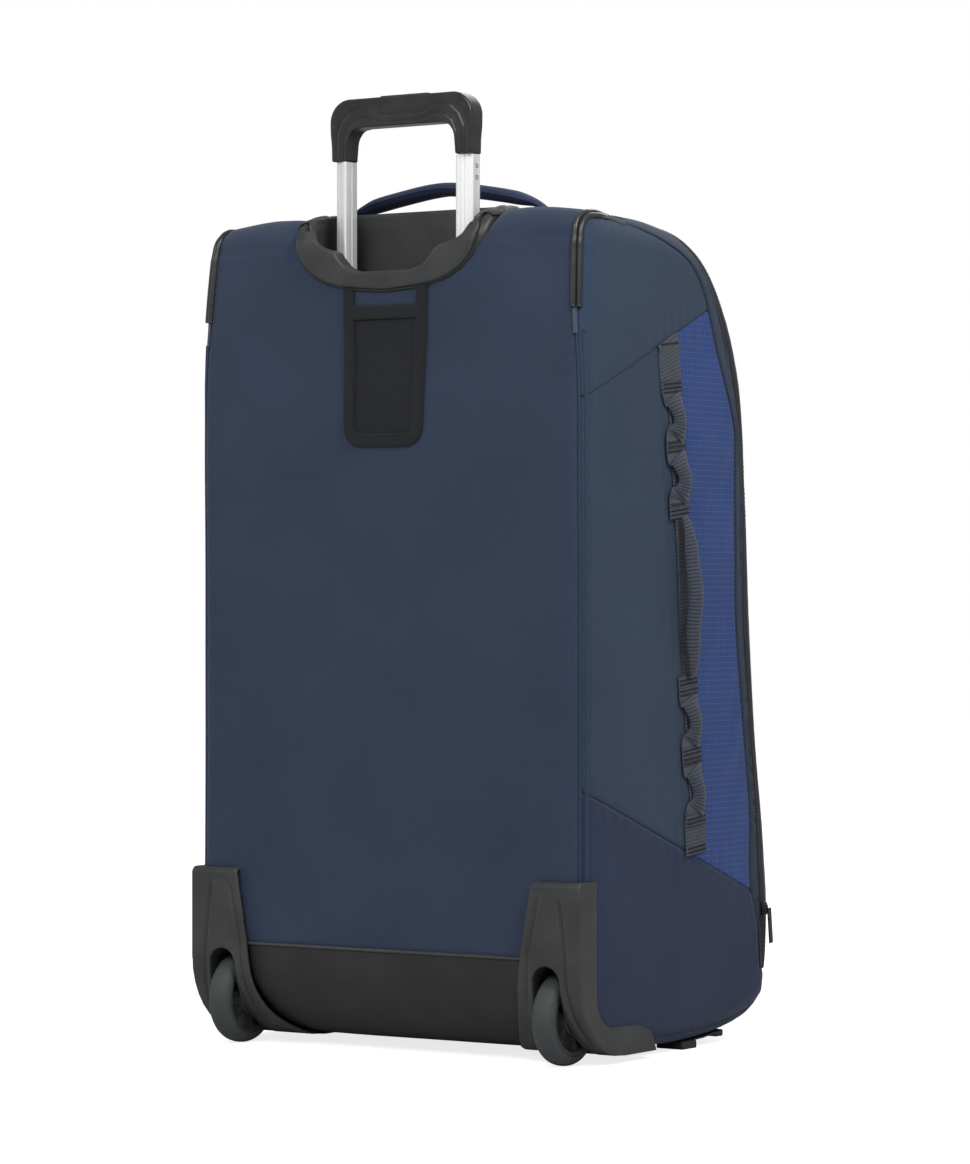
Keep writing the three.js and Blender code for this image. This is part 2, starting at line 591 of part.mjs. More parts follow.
// A band drawn in (u, v), laid along the strap's line on one side of the bag.
function onStrap(line, thickness, width, side) {
  const shape = bandShape(line.map(([u, v]) => [v, u]), -thickness);
  const flat = alongY(shape, -width / 2, width / 2); // drawn in (x, z)
  const placed = flat
    .rotate([THREE.MathUtils.radToDeg(-strapTilt), 0, 0])
    .translate([HALF_WIDTH, STRAP_LOW[0], STRAP_LOW[1]]);
  return side > 0 ? placed : mirrored(placed);
}
function sideWebbing(side) {
  let body = onStrap([[0, GAP], [strapLength, GAP]], 1.4, STRAP_W, side);
  for (const [u0, u1] of LOOPS)
    body = body.add(onStrap(bow(u0, u1, 1.2, LOOP_RISE, 10), STRAP_T, 30, side));
  return body;
}
const sideHandle = (side) => onStrap(bow(...HANDLE_SPAN, 8, HANDLE_RISE, 12), 4, 16, side);

const TOP_HANDLE = { y: 70, half: 118, foot: 802, rise: 829, radius: 9 };
function topHandle() {
  const { y, half, foot, rise, radius } = TOP_HANDLE;
  const arch = [[half, foot], [half - 30, foot + 14], [50, rise - 4]];
  const points = [...arch.map(([x, z]) => [-x, z]), [0, rise], ...arch.reverse()];
  const path = new THREE.CatmullRomCurve3(points.map(([x, z]) => new THREE.Vector3(x, y, z)));
  const section = new THREE.Shape();
  section.absarc(0, 0, radius, 0, 2 * Math.PI);
  return solid(new THREE.ExtrudeGeometry(section, { steps: 18, extrudePath: path, curveSegments: 5 }));
}

// Label pocket on the back: a bound frame with a recessed panel and two tapes up to the bezel.
function idPocket() {
  const face = BACK_Y + GAP;
  const frame = alongY(shapeOf([[-40, 577], [40, 577], [44, 716], [-44, 716]]), face, face + 1.6);
  const window_ = box([-32, face + 0.8, 590], [32, face + 3, 692]);
  const slot = box([-34, face - 1, 704], [34, face + 3, 714]);
  return frame.subtract(window_).subtract(slot);
}

// A rubber bead along each upper back corner.
function cornerPiping(side) {
  const roll = arc(BACK_Y - TOP_RADIUS, TOP_Z - TOP_RADIUS, TOP_RADIUS, 0, 90, 6);
  const line = [[BACK_Y, 692], ...roll, [108, TOP_Z]];
  const bead = alongX(bandShape(offsetLine(line, -GAP), -6), HALF_WIDTH - 12, HALF_WIDTH - 5);
  return side > 0 ? bead : mirrored(bead);
}

// A runner under each front corner: a strip along the underside with a foot at each end.
function foot(side) {
  const strip = box([184, -106, 0], [206, -22, 26]);
  const front = box([184, -106, 6], [206, -94, 26]);
  const rear = box([180, -48, 0], [210, -22, 20]);
  const under = alongX(shapeOf([...offsetLine(bottomLine, -GAP), [60, 60], [-180, 60]]), 170, 220);
  const hug = alongX(shapeOf([...offsetLine(bottomLine, -2.6), [60, 60], [-180, 60]]), 170, 220);
  const block = strip.intersect(hug).add(front).add(rear).subtract(under);
  return side > 0 ? block : mirrored(block);
}

// ---------------------------------------------------------------- inside
const BOARD_Y = BACK_Y - WALL - 4; // front face of the stiffening board
const backBoard = () => alongY(roundedRect(300, 590, 12, 0, 412), BOARD_Y, BOARD_Y + 3, 4);
// A fabric cover hides the handle's tubes from the main compartment.
const COVER_Y = 121;
function trolleyCover() {
  const line = [[-128, 163], [-100, COVER_Y], [100, COVER_Y], [128, 163]];
  return alongZ(bandShape(line, 2.2), 128, 700);
}
// A luggage strap across the back of the compartment, in two halves that meet at a buckle.
const STRAP_Z = [400, 425];
function innerStrap(side) {
  const line = [[19.8, COVER_Y - 3.5], [99, COVER_Y - 3.5], [134, 158], [HALF_WIDTH - WALL - 0.5, 158]];
  const strap = alongZ(bandShape(line, 1.6), STRAP_Z[0], STRAP_Z[1]);
  return side > 0 ? strap : mirrored(strap);
}
const strapBuckle = () => box([-19.5, COVER_Y - 9, STRAP_Z[0] - 5], [19.5, COVER_Y - 1.5, STRAP_Z[1] + 5]);

// ---------------------------------------------------------------- the scene
const bag = new THREE.Group();
function add(name, slot, body) {
  const mesh = new THREE.Mesh(geometryOf(body), MATERIALS[slot]);
  mesh.name = name;
  bag.add(mesh);
}
function addPair(name, slot, body) {
  add(name + "_left", slot, body);
  add(name + "_right", slot, mirrored(body));
}

add("back_panel", "fabric_slate", backPanel());
add("top_panel", "fabric_slate", topPanel());
add("bottom_panel", "fabric_slate", bottomPanel());
add("side_panel_left", "fabric_slate", sidePanel(1));
add("side_panel_right", "fabric_slate", sidePanel(-1));
add("kick_plate", "plastic_black", kickPlate());
add("back_board", "board_grey", backBoard());
add("trolley_cover", "lining_grey", trolleyCover());
add("inner_strap_left", "webbing_grey", innerStrap(1));
add("inner_strap_right", "webbing_grey", innerStrap(-1));
add("strap_buckle", "plastic_black", strapBuckle());

add("lid_panel", "fabric_slate", lidPanel());
add("lid_rim_left", "fabric_slate", lidRim(1));
add("lid_rim_right", "fabric_slate", lidRim(-1));
add("front_pocket", "fabric_blue", frontPocket());
add("lid_mesh_pocket", "mesh_black", meshPocket());

add("main_zip", "rubber_black", mainZip());
addPair("zip_slider", "zinc", mirrored(placeOnZip(sliderBody(), SLIDER_AT)));
addPair("zip_pull", "zinc", mirrored(placeOnZip(pullBody(), SLIDER_AT)));
add("pocket_slider", "zinc", pocketSlider());
add("pocket_pull", "zinc", pocketPull());

add("handle_bezel", "plastic_black", handleBezel());
addPair("guide_tube", "aluminium", guideTube());
addPair("handle_tube", "aluminium", slidingTube());
add("grip", "plastic_black", gripBody());
add("grip_button", "plastic_black", gripButton());
add("button_spring", "steel", buttonSpring());
addPair("push_rod", "steel", pushRod());
addPair("lock_shoe", "plastic_black", lockShoe());
addPair("lock_pin", "steel", lockPin());
add("tube_foot_bracket", "plastic_black", footBracket());

addPair("wheel_housing", "plastic_black", wheelHousing());
addPair("wheel_tyre", "rubber_black", tyre());
addPair("wheel_hub", "plastic_black", hub());
addPair("wheel_bearing_outer", "steel", bearing(1));
addPair("wheel_bearing_inner", "steel", bearing(-1));
addPair("wheel_axle", "steel", axle());
add("foot_left", "rubber_black", foot(1));
add("foot_right", "rubber_black", foot(-1));

add("top_handle", "fabric_blue", topHandle());
add("side_webbing_left", "webbing_grey", sideWebbing(1));
add("side_webbing_right", "webbing_grey", sideWebbing(-1));
add("side_handle_left", "webbing_grey", sideHandle(1));
add("side_handle_right", "webbing_grey", sideHandle(-1));
add("id_pocket", "mesh_black", idPocket());
add("corner_piping_left", "rubber_black", cornerPiping(1));
add("corner_piping_right", "rubber_black", cornerPiping(-1));

export default bag;
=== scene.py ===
import json
import math

import bmesh
import bpy
import numpy as np
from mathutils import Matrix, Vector

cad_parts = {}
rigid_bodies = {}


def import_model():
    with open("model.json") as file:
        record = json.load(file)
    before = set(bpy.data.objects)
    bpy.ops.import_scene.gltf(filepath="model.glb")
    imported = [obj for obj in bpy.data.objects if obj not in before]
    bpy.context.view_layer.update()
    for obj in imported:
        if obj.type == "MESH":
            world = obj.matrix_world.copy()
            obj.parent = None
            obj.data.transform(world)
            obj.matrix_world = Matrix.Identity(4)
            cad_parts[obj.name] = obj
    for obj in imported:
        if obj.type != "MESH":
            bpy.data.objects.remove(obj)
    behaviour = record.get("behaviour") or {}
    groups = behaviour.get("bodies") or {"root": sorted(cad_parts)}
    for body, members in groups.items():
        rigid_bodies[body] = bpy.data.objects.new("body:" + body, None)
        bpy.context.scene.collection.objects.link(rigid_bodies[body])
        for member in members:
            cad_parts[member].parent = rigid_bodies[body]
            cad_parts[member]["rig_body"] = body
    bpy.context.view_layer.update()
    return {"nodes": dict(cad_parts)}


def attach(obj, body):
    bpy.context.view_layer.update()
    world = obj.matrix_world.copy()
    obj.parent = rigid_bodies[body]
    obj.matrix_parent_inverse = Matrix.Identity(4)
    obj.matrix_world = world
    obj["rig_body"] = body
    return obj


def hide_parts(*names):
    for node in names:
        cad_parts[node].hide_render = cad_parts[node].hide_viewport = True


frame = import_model()
MM = 0.001
NODES = frame["nodes"]
PAIR = {1: "left", -1: "right"}
SIDES = tuple(PAIR.items())
M = {}  # finishes by name: every Finish adds its own


def placed(name, data):
    """A new object in the scene."""
    obj = bpy.data.objects.new(name, data)
    bpy.context.scene.collection.objects.link(obj)
    return obj


# ---------------------------------------------------------------- camera and light
def place_camera():
    """Level, from behind and to the bag's right, as the photograph was taken."""
    data = bpy.data.cameras.new("camera")
    data.lens, data.sensor_width = 128.66, 36
    data.shift_y = 0.00515
    data.clip_end = 50
    cam = placed("camera", data)
    cam.location = (-2.2485, 3.4007, 0.442)
    cam.rotation_mode = "QUATERNION"
    cam.rotation_quaternion = Vector((0.552, -0.834, 0)).to_track_quat("-Z", "Y")
    bpy.context.scene.camera = cam


def area_light(name, at, aim, size, watts):
    data = bpy.data.lights.new(name, "AREA")
    data.shape, data.size, data.size_y = "RECTANGLE", size[0], size[1]
    data.energy = watts
    light = placed(name, data)
    light.location = at
    light.rotation_mode = "QUATERNION"
    light.rotation_quaternion = (Vector(aim) - Vector(at)).to_track_quat("-Z", "Y")


def place_lights():
    """A broad key behind the bag, a near lamp over its right side, and soft fills."""
    middle = (0, 0, 0.45)
    for lamp in (
        ("key", (-0.6, 3.2, 3.0), middle, (2.2, 1.8), 76),
        ("side", (-1.45, 0.5, 1.85), (-0.2, 0.05, 0.76), (0.7, 0.8), 22),
        ("fill", (2.6, 1.6, 1.2), middle, (1.8, 2.2), 12),
        ("front", (0.8, -3.4, 2.2), middle, (2.2, 2.2), 34),
    ):
        area_light(*lamp)
    world = bpy.data.worlds.new("studio")
    world.use_nodes = True
    tree = world.node_tree
    # The camera sees pure white; the bag is lit by less than that, so that the lamps shape it.
    seen = tree.nodes.new("ShaderNodeLightPath").outputs["Is Camera Ray"]
    strength = tree.nodes.new("ShaderNodeMapRange")
    strength.inputs[3].default_value, strength.inputs[4].default_value = 0.36, 1.0
    tree.links.new(seen, strength.inputs[0])
    tree.links.new(strength.outputs[0], tree.nodes["Background"].inputs[1])
    tree.nodes["Background"].inputs[0].default_value = (1, 1, 1, 1)
    bpy.context.scene.world = world
    bpy.context.scene.view_settings.view_transform = "Standard"


# ---------------------------------------------------------------- materials
def linear(r, g, b):
    """An sRGB colour of 0-255 as linear RGBA."""
    part = [c / 255 for c in (r, g, b)]
    return tuple(c / 12.92 if c < 0.04045 else ((c + 0.055) / 1.055) ** 2.4 for c in part) + (1.0,)


class Finish:
    """A node material under construction: each method adds nodes and returns an output socket."""

    def __init__(self, name, **sockets):
        self.material = M[name] = bpy.data.materials.new(name)
        self.material.use_nodes = True
        self.tree = self.material.node_tree
        self.shader = self.tree.nodes["Principled BSDF"]
        for key, value in sockets.items():
            self.put(self.shader, key.replace("_", " "), value)

    def put(self, node, key, value):
        socket = node.inputs[key]
        if isinstance(value, bpy.types.NodeSocket):
            self.tree.links.new(value, socket)
        else:
            socket.default_value = value

    def add(self, kind, inputs=None, **settings):
        """A shader node with its inputs and settings filled in."""
        node = self.tree.nodes.new("ShaderNode" + kind)
        for key, value in settings.items():
            setattr(node, key, value)
        for key, value in (inputs or {}).items():
            self.put(node, key, value)
        return node

    def math(self, operation, a, b=0.0, clamp=False):
        node = self.add("Math", {0: a, 1: b}, operation=operation)
        node.use_clamp = clamp
        return node.outputs[0]

    def mix(self, factor, a, b):
        return self.add("Mix", {0: factor, 6: a, 7: b}, data_type="RGBA").outputs[2]

    def blend(self, factor, a, b):
        return self.add("Mix", {0: factor, 2: a, 3: b}, data_type="FLOAT").outputs[0]

    def uv(self):
        return self.add("UVMap").outputs[0]

    def place(self):
        return self.add("TexCoord").outputs["Object"]

    def scaled(self, vector, scale):
        return self.add("Mapping", {0: vector, 3: scale}).outputs[0]

    def noise(self, vector, scale=1.0, detail=3.0, rough=0.5):
        inputs = {0: vector, "Scale": scale, "Detail": detail, "Roughness": rough}
        return self.add("TexNoise", inputs).outputs[0]

    def ramp(self, value, low, high):
        inputs = {0: value, 1: low, 2: high, 3: 0.0, 4: 1.0}
        return self.add("MapRange", inputs).outputs[0]

    def bump(self, height, distance, strength=1.0):
        """Relief in metres, laid over whatever relief the shader already has."""
        node = self.add("Bump", {"Height": height, "Distance": distance, "Strength": strength})
        before = self.shader.inputs["Normal"]
        if before.is_linked:
            self.tree.links.new(before.links[0].from_socket, node.inputs["Normal"])
        self.tree.links.new(node.outputs[0], before)

    def weave(self, vector, pitch):
        """Height of a plain weave: threads pass over and under each other every pitch."""
        cells = self.scaled(vector, (1 / pitch, 1 / pitch, 0))
        parts = self.add("SeparateXYZ", {0: cells})
        over = self.add("TexChecker", {0: cells, 1: (1, 1, 1, 1), 2: (0, 0, 0, 1), 3: 1.0}).outputs[1]
        warp, weft = (
            self.math("ABSOLUTE", self.math("SINE", self.math("MULTIPLY", p, math.pi)))
            for p in (parts.outputs[0], parts.outputs[1])
        )
        return self.blend(over, warp, weft)

    def stripes(self, coordinate, pitch, width):
        """1 on thin lines every pitch along a coordinate, 0 between them."""
        wave = self.math("FRACT", self.math("DIVIDE", coordinate, pitch))
        return self.math("LESS_THAN", wave, width / pitch)


def fabric(name, *shades, pitch=0.8 * MM, rough=0.82, fleck_share=0.5, ripstop=None):
    """Woven cloth of base, fleck and dark yarn, the dark also painted as shade between the threads; ripstop is
    (pitch, colour) of its thicker threads.
    """
    base, fleck, dark = (linear(*shade) for shade in shades)
    f = Finish(name, Roughness=rough, Specular_IOR_Level=0.28, Sheen_Weight=0.12, Sheen_Roughness=0.45)
    uv = f.uv()
    along = f.noise(f.scaled(uv, (260, 2600, 1)), detail=2)
    across = f.noise(f.scaled(uv, (2600, 300, 1)), detail=2)
    yarn = f.ramp(f.math("ADD", along, across), 0.78, 1.22)
    cloudy = f.ramp(f.noise(f.scaled(uv, (9, 9, 9)), detail=4), 0.3, 0.7)
    colour = f.mix(f.math("MULTIPLY", yarn, fleck_share), base, fleck)
    colour = f.mix(f.math("MULTIPLY", cloudy, 0.32), colour, dark)
    height = f.weave(uv, pitch)
    # painted shade: where the weave is low, between the threads, the colour is mixed toward the dark yarn
    colour = f.mix(f.math("MULTIPLY", f.math("SUBTRACT", 1.0, height), 0.35), colour, dark)
    if ripstop:
        step, shade = ripstop
        parts = f.add("SeparateXYZ", {0: uv})
        lines = [f.stripes(parts.outputs[k], step, 0.75 * MM) for k in (0, 1)]
        grid = f.math("MAXIMUM", lines[0], lines[1])
        colour = f.mix(f.math("MULTIPLY", grid, 0.42), colour, linear(*shade))
        f.bump(grid, 0.18 * MM, 0.8)
    f.put(f.shader, "Base Color", colour)
    f.bump(height, 0.14 * MM, 0.7)
    f.bump(f.noise(f.scaled(uv, (34, 20, 1)), detail=4), 1.2 * MM, 0.35)


def moulded(name, base, light, rough=0.5, grain=0.05, scale=1500.0):
    """Moulded plastic or rubber with a fine spark-eroded grain, and convex edges made paler by a painted
    highlight.
    """
    base, light = linear(*base), linear(*light)
    f = Finish(name, Specular_IOR_Level=0.4)
    at = f.place()
    cloud = f.noise(at, 26.0, 4)
    # painted highlight: convex edges, found by pointiness, are mixed toward the light colour
    edge_highlight = f.ramp(f.add("NewGeometry").outputs["Pointiness"], 0.52, 0.6)
    colour = f.mix(f.math("MULTIPLY", edge_highlight, 0.35), base, light)
    colour = f.mix(f.ramp(cloud, 0.35, 1.3), colour, light)
    f.put(f.shader, "Base Color", colour)
    f.put(f.shader, "Roughness", f.blend(cloud, rough - 0.07, rough + 0.09))
    f.bump(f.noise(at, scale, 2), grain * MM, 0.6)


def webbing(name, base, light, dark, pitch=3.5 * MM):
    """Ribbed nylon tape: ribs run across it, with painted shade in the hollows between them, and its UV's v
    runs along it.
    """
    base, light, dark = linear(*base), linear(*light), linear(*dark)
    f = Finish(name, Roughness=0.78, Specular_IOR_Level=0.3, Sheen_Weight=0.15)
    uv = f.uv()
    parts = f.add("SeparateXYZ", {0: uv})
    rib = f.math("ABSOLUTE", f.math("SINE", f.math("MULTIPLY", parts.outputs[1], math.pi / pitch)))
    thread = f.weave(uv, 0.9 * MM)
    # painted shade: the hollows between the ribs are mixed toward the near-black dark colour
    colour = f.mix(f.ramp(rib, 0.1, 0.85), dark, base)
    colour = f.mix(f.math("MULTIPLY", f.noise(f.scaled(uv, (900, 500, 1))), 0.35), colour, light)
    f.put(f.shader, "Base Color", colour)
    f.bump(rib, 0.6 * MM, 0.85)
    f.bump(thread, 0.12 * MM, 0.6)


def mesh_cloth(name, base, dark):
    """Close-knit spacer mesh: small dark holes in staggered rows."""
    f = Finish(name, Roughness=0.75, Specular_IOR_Level=0.3)
    at = f.scaled(f.uv(), (520, 520, 1))
    cell = f.add("TexVoronoi", {0: at, "Scale": 1.0, "Randomness": 0.15}).outputs[0]
    open_ = f.ramp(cell, 0.42, 0.25)
    f.put(f.shader, "Base Color", f.mix(open_, linear(*base), linear(*dark)))
    f.bump(open_, -0.3 * MM, 0.7)


def metal(name, base, dark, rough, stretch=(1400, 1400, 6), metallic=0.92):
    """Drawn or cast metal: fine lines along Z where stretch is small there."""
    f = Finish(name, Metallic=metallic)
    at = f.scaled(f.place(), stretch)
    lines = f.noise(at, 1.0, 3)
    f.put(f.shader, "Base Color", f.mix(f.ramp(lines, 0.35, 0.75), linear(*base), linear(*dark)))
    f.put(f.shader, "Roughness", f.blend(lines, rough - 0.06, rough + 0.1))
    f.bump(lines, 0.02 * MM, 0.4)


# the third colour of each fabric is its dark yarn, which is also painted as shade between the threads
fabric("fabric_slate", (41, 53, 75), (61, 76, 98), (28, 37, 55))
fabric("fabric_side", (39, 56, 78), (59, 80, 101), (26, 38, 57))
fabric("fabric_navy", (31, 43, 72), (43, 59, 92), (21, 30, 53))
fabric(
    "fabric_blue", (32, 60, 122), (45, 79, 146), (20, 39, 89),
    rough=0.62, fleck_share=0.3, ripstop=(5.6 * MM, (72, 108, 168)),
)
fabric("lining_grey", (132, 137, 142), (158, 162, 166), (104, 108, 113), rough=0.7)
fabric("binding", (22, 24, 29), (36, 38, 44), (14, 15, 18), pitch=0.7 * MM)
moulded("board_grey", (112, 116, 121), (140, 143, 147), 0.6)
moulded("plastic_black", (45, 46, 47), (75, 76, 76), 0.44)
moulded("plastic_dark", (29, 29, 31), (52, 52, 55), 0.55)
moulded("plastic_gloss", (37, 38, 39), (68, 69, 69), 0.27, 0.03)
moulded("rubber_black", (36, 38, 38), (66, 68, 67), 0.6, 0.04, 900.0)
moulded("tyre_black", (53, 57, 58), (84, 88, 88), 0.66, 0.05, 700.0)
# the webbing's near-black third colour is painted shade between its ribs
webbing("webbing_grey", (54, 60, 73), (90, 96, 110), (13, 14, 18))
mesh_cloth("mesh_black", (29, 32, 35), (9, 10, 12))
metal("aluminium", (246, 247, 246), (226, 228, 228), 0.42, metallic=0.55)
metal("steel", (168, 170, 172), (128, 130, 133), 0.34, (300, 300, 300))
metal("zinc", (78, 80, 84), (48, 50, 54), 0.32, (260, 260, 260))
fabric("thread", (60, 68, 88), (88, 98, 118), (40, 46, 62))
fabric("fabric_blue_plain", (40, 50, 80), (56, 68, 100), (27, 34, 56), fleck_share=0.4)


# ---------------------------------------------------------------- mesh helpers
def attached(obj, body, replaces=()):
    """The piece, riding on its body and the CAD nodes it replaces."""
    if replaces:
        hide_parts(*replaces)
    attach(obj, body)
    return obj


def make(name, points, faces, finish, body, uv=None, smooth=True, replaces=(), inner=None):
    """A mesh object from points in millimetres, riding on a body. uv is one pair per point."""
    mesh = bpy.data.meshes.new(name)
    mesh.from_pydata((np.asarray(points, float) * MM).tolist(), [], faces)
    if uv is not None:
        layer = mesh.uv_layers.new(name="UVMap")
        corner = np.zeros(len(mesh.loops), np.int32)
        mesh.loops.foreach_get("vertex_index", corner)
        layer.data.foreach_set("uv", np.asarray(uv, np.float32)[corner].ravel())
    mesh.shade_smooth() if smooth else mesh.shade_flat()
    mesh.materials.append(M[finish])
    if inner:
        mesh.materials.append(M[inner])
    return attached(placed(name, mesh), body, replaces)


def grid_faces(rows, cols, closed_rows=False, closed_cols=False, keep=None, caps=False):
    """Quads of a rows x cols grid of points, where keep is true; caps close its two end rows."""
    faces = []
    for i in range(rows if closed_rows else rows - 1):
        for j in range(cols if closed_cols else cols - 1):
            if keep is not None and not keep[i, j]:
                continue
            k, l = (i + 1) % rows, (j + 1) % cols
            faces.append((i * cols + j, k * cols + j, k * cols + l, i * cols + l))
    if caps:
        faces += [tuple(range(cols))[::-1], tuple(range((rows - 1) * cols, rows * cols))]
    return faces


def apply_modifiers(obj):
    graph = bpy.context.evaluated_depsgraph_get()
    mesh = bpy.data.meshes.new_from_object(obj.evaluated_get(graph))
    obj.modifiers.clear()
    obj.data = mesh


def modify(obj, kind, **settings):
    modifier = obj.modifiers.new(kind.lower(), kind)
    for key, value in settings.items():
        setattr(modifier, key, value)
    return modifier


def arc(cy, cz, r, start, end, steps):
    """Points of a circle about (cy, cz) between two angles in degrees."""
    a = np.radians(np.linspace(start, end, steps + 1))
    return [(cy + r * math.cos(k), cz + r * math.sin(k)) for k in a]


def smooth_line(points, step, closed=False):
    """A line through points, smooth where they turn, with a point every step or so."""
    p = np.asarray(points, float)
    if closed:
        p = np.vstack([p[-1], p, p[0], p[1]])
    h = np.linalg.norm(np.diff(p, axis=0), axis=1)
    slope = np.diff(p, axis=0) / h[:, None]
    m = np.empty_like(p)
    m[1:-1] = (slope[:-1] * h[1:, None] + slope[1:] * h[:-1, None]) / (h[:-1] + h[1:])[:, None]
    m[0], m[-1] = slope[0], slope[-1]
    out = []
    for i in range(1, len(p) - 2) if closed else range(len(p) - 1):
        t = np.linspace(0, 1, max(2, int(math.ceil(h[i] / step)) + 1))[:-1, None]
        a, b = 2 * t**3 - 3 * t**2 + 1, -2 * t**3 + 3 * t**2
        c, d = t**3 - 2 * t**2 + t, t**3 - t**2
        out.append(a * p[i] + b * p[i + 1] + (c * m[i] + d * m[i + 1]) * h[i])
    if not closed:
        out.append(p[-1:])
    return np.vstack(out)


def pairs(u, v):
    """Two sets of numbers, spread to one grid, as (u, v) pairs."""
    return np.stack(np.broadcast_arrays(u, v), -1)


def unit(vectors):
    """Vectors scaled to length one."""
    return vectors / np.linalg.norm(vectors, axis=-1, keepdims=True)


def pick(at, distances, line):
    """The points of a line at given distances along it."""
    return np.stack([np.interp(at, distances, line[:, k]) for k in range(line.shape[1])], -1)


def lengths(points):
    """Distance along a line of each of its points."""
    return np.concatenate([[0], np.cumsum(np.linalg.norm(np.diff(points, axis=0), axis=1))])


def resample(points, count):
    """A line again, with count points evenly spaced."""
    points = np.asarray(points, float)
    s = lengths(points)
    return pick(np.linspace(0, s[-1], count), s, points)


def ease(x, low, high):
    """0 below low, 1 above high, smooth between."""
    t = np.clip((np.asarray(x, float) - low) / (high - low), 0, 1)
    return t * t * (3 - 2 * t)


def tube(name, path, radius, finish, body, sides=8, normal=None, **extra):
    """A round bead along a path; its ends are capped."""
    path = np.asarray(path, float)
    tangent = unit(np.gradient(path, axis=0))
    up = np.array(normal if normal is not None else (0.3, 0.2, 1.0), float)
    up = np.broadcast_to(up, path.shape) if up.ndim == 1 else up
    side = unit(np.cross(tangent, up))
    up = np.cross(side, tangent)
    a = np.linspace(0, 2 * math.pi, sides, endpoint=False)
    ring = np.cos(a)[None, :, None] * side[:, None] + np.sin(a)[None, :, None] * up[:, None]
    points = path[:, None] + ring * np.asarray(radius, float).reshape(-1, 1, 1)
    faces = grid_faces(len(path), sides, closed_cols=True, caps=True)
    s = lengths(path) * MM
    uv = pairs(a[None] * np.mean(radius) * MM, s[:, None]).reshape(-1, 2)
    return make(name, points.reshape(-1, 3), faces, finish, body, uv, **extra)


# ---------------------------------------------------------------- the bag's outer surface
HALF_W = 220
BACK_Y = 175
UPPER_Z, LOWER_Z = 616, 254  # heights of the side seams at the back
outline = [(60, 10), *arc(95, 90, 80, -90, 0, 12), (175, 200), (175, 350), (175, 500), (175, 640)]
outline += [(175, 755), *arc(138, 755, 37, 0, 90, 8)[1:], (100, 792), (57, 791), (20, 788), (-10, 784)]
outline += [(-60, 766), (-105, 722), (-136, 658), (-152, 540), (-160, 420), (-172, 290), (-188, 185)]
outline += [(-193, 120), (-186, 62), (-178, 38), (-155, 23), (-120, 15), (-60, 9), (0, 8)]
PROFILE = smooth_line(outline, 2.5, closed=True)
PROFILE = np.vstack([PROFILE, PROFILE[:1]])
ALONG = lengths(PROFILE)
LOOP = ALONG[-1]
turn = np.gradient(PROFILE, axis=0)
turn[0] = turn[-1] = PROFILE[1] - PROFILE[-2]
OUTWARD = unit(np.stack([turn[:, 1], -turn[:, 0]], 1))


BATCH = 4000  # points measured at a time


def gaps(points, line):
    """Of each 2-D point and straight stretch of a line: the share along it, and the distance off."""
    d = line[1:] - line[:-1]
    part = points[:, None] - line[None, :-1]
    t = np.clip((part * d).sum(-1) / (d * d).sum(-1), 0, 1)
    return t, np.linalg.norm(part - t[..., None] * d, axis=-1)


def nearest(y, z):
    """Distance in from the profile, and place along it, for points of the side view."""
    q = np.stack([np.ravel(y), np.ravel(z)], 1).astype(float)
    best, place = np.zeros(len(q)), np.zeros(len(q))
    for k in range(0, len(q), BATCH):
        batch = slice(k, k + BATCH)
        t, gap = gaps(q[batch], PROFILE)
        row, i = np.arange(len(gap)), gap.argmin(1)
        best[batch] = gap[row, i]
        place[batch] = ALONG[i] + t[row, i] * (ALONG[i + 1] - ALONG[i])
    return best.reshape(np.shape(y)), place.reshape(np.shape(y))


def at_profile(y, z):
    """Place along the profile of the point nearest (y, z)."""
    return float(nearest(np.array([y]), np.array([z]))[1][0])


def on_back(z):
    """Place along the profile of a height on the flat back."""
    return at_profile(BACK_Y, z)


S_KICK = on_back(97)
S_TOP = at_profile(86, 792)  # seam between the back's cloth and the top band
S_LID = at_profile(-10, 784)  # zip across the top
S_HINGE = at_profile(-186, 62)
EDGE_S = [0, S_KICK, on_back(640), at_profile(165, 780), S_TOP, S_LID]
EDGE_S += [at_profile(-105, 722), at_profile(-152, 540), S_HINGE, at_profile(-120, 15), LOOP]
EDGE_R = [22, 16, 16, 29, 30, 32, 40, 42, 38, 26, 22]


def edge_radius(s):
    return np.interp(s, EDGE_S, EDGE_R)


def bulge(inset, y, z):
    """How far a side face stands out beyond the flat: soft, and a little uneven."""
    puff = 3.4 * (1 - np.exp(-np.maximum(inset - 12, 0) / 55))
    lumps = 0.5 * np.sin(y / 37 + z / 61) + 0.45 * np.sin(z / 43 - y / 71 + 1.3) + 0.3 * np.sin(z / 19 + 2)
    return puff + lumps * ease(inset, 8, 60)


def surface(s, a, out=0.0):
    """Point of the skin at place s round the profile and lateral distance a from the middle, unrolled."""
    s, a = np.broadcast_arrays(np.asarray(s, float), np.asarray(a, float))
    base = pick(s, ALONG, PROFILE)
    out_yz = unit(pick(s, ALONG, OUTWARD))
    radius = edge_radius(s)
    flat = HALF_W - radius
    past = np.maximum(np.abs(a) - flat, 0)
    phi = np.minimum(past / radius, math.pi / 2)
    inset = radius * (1 - np.cos(phi)) + np.maximum(past - radius * math.pi / 2, 0)
    yz = base - out_yz * inset[..., None]
    x = np.minimum(np.abs(a), flat) + radius * np.sin(phi)
    x = x + bulge(inset, yz[..., 0], yz[..., 1]) * np.sin(phi) ** 2 + out * np.sin(phi)
    lift = crown(s, a) * np.cos(phi) + out * np.cos(phi)
    yz = yz + out_yz * np.asarray(lift)[..., None]
    return np.stack([np.sign(a) * x, yz[..., 0], yz[..., 1]], -1)


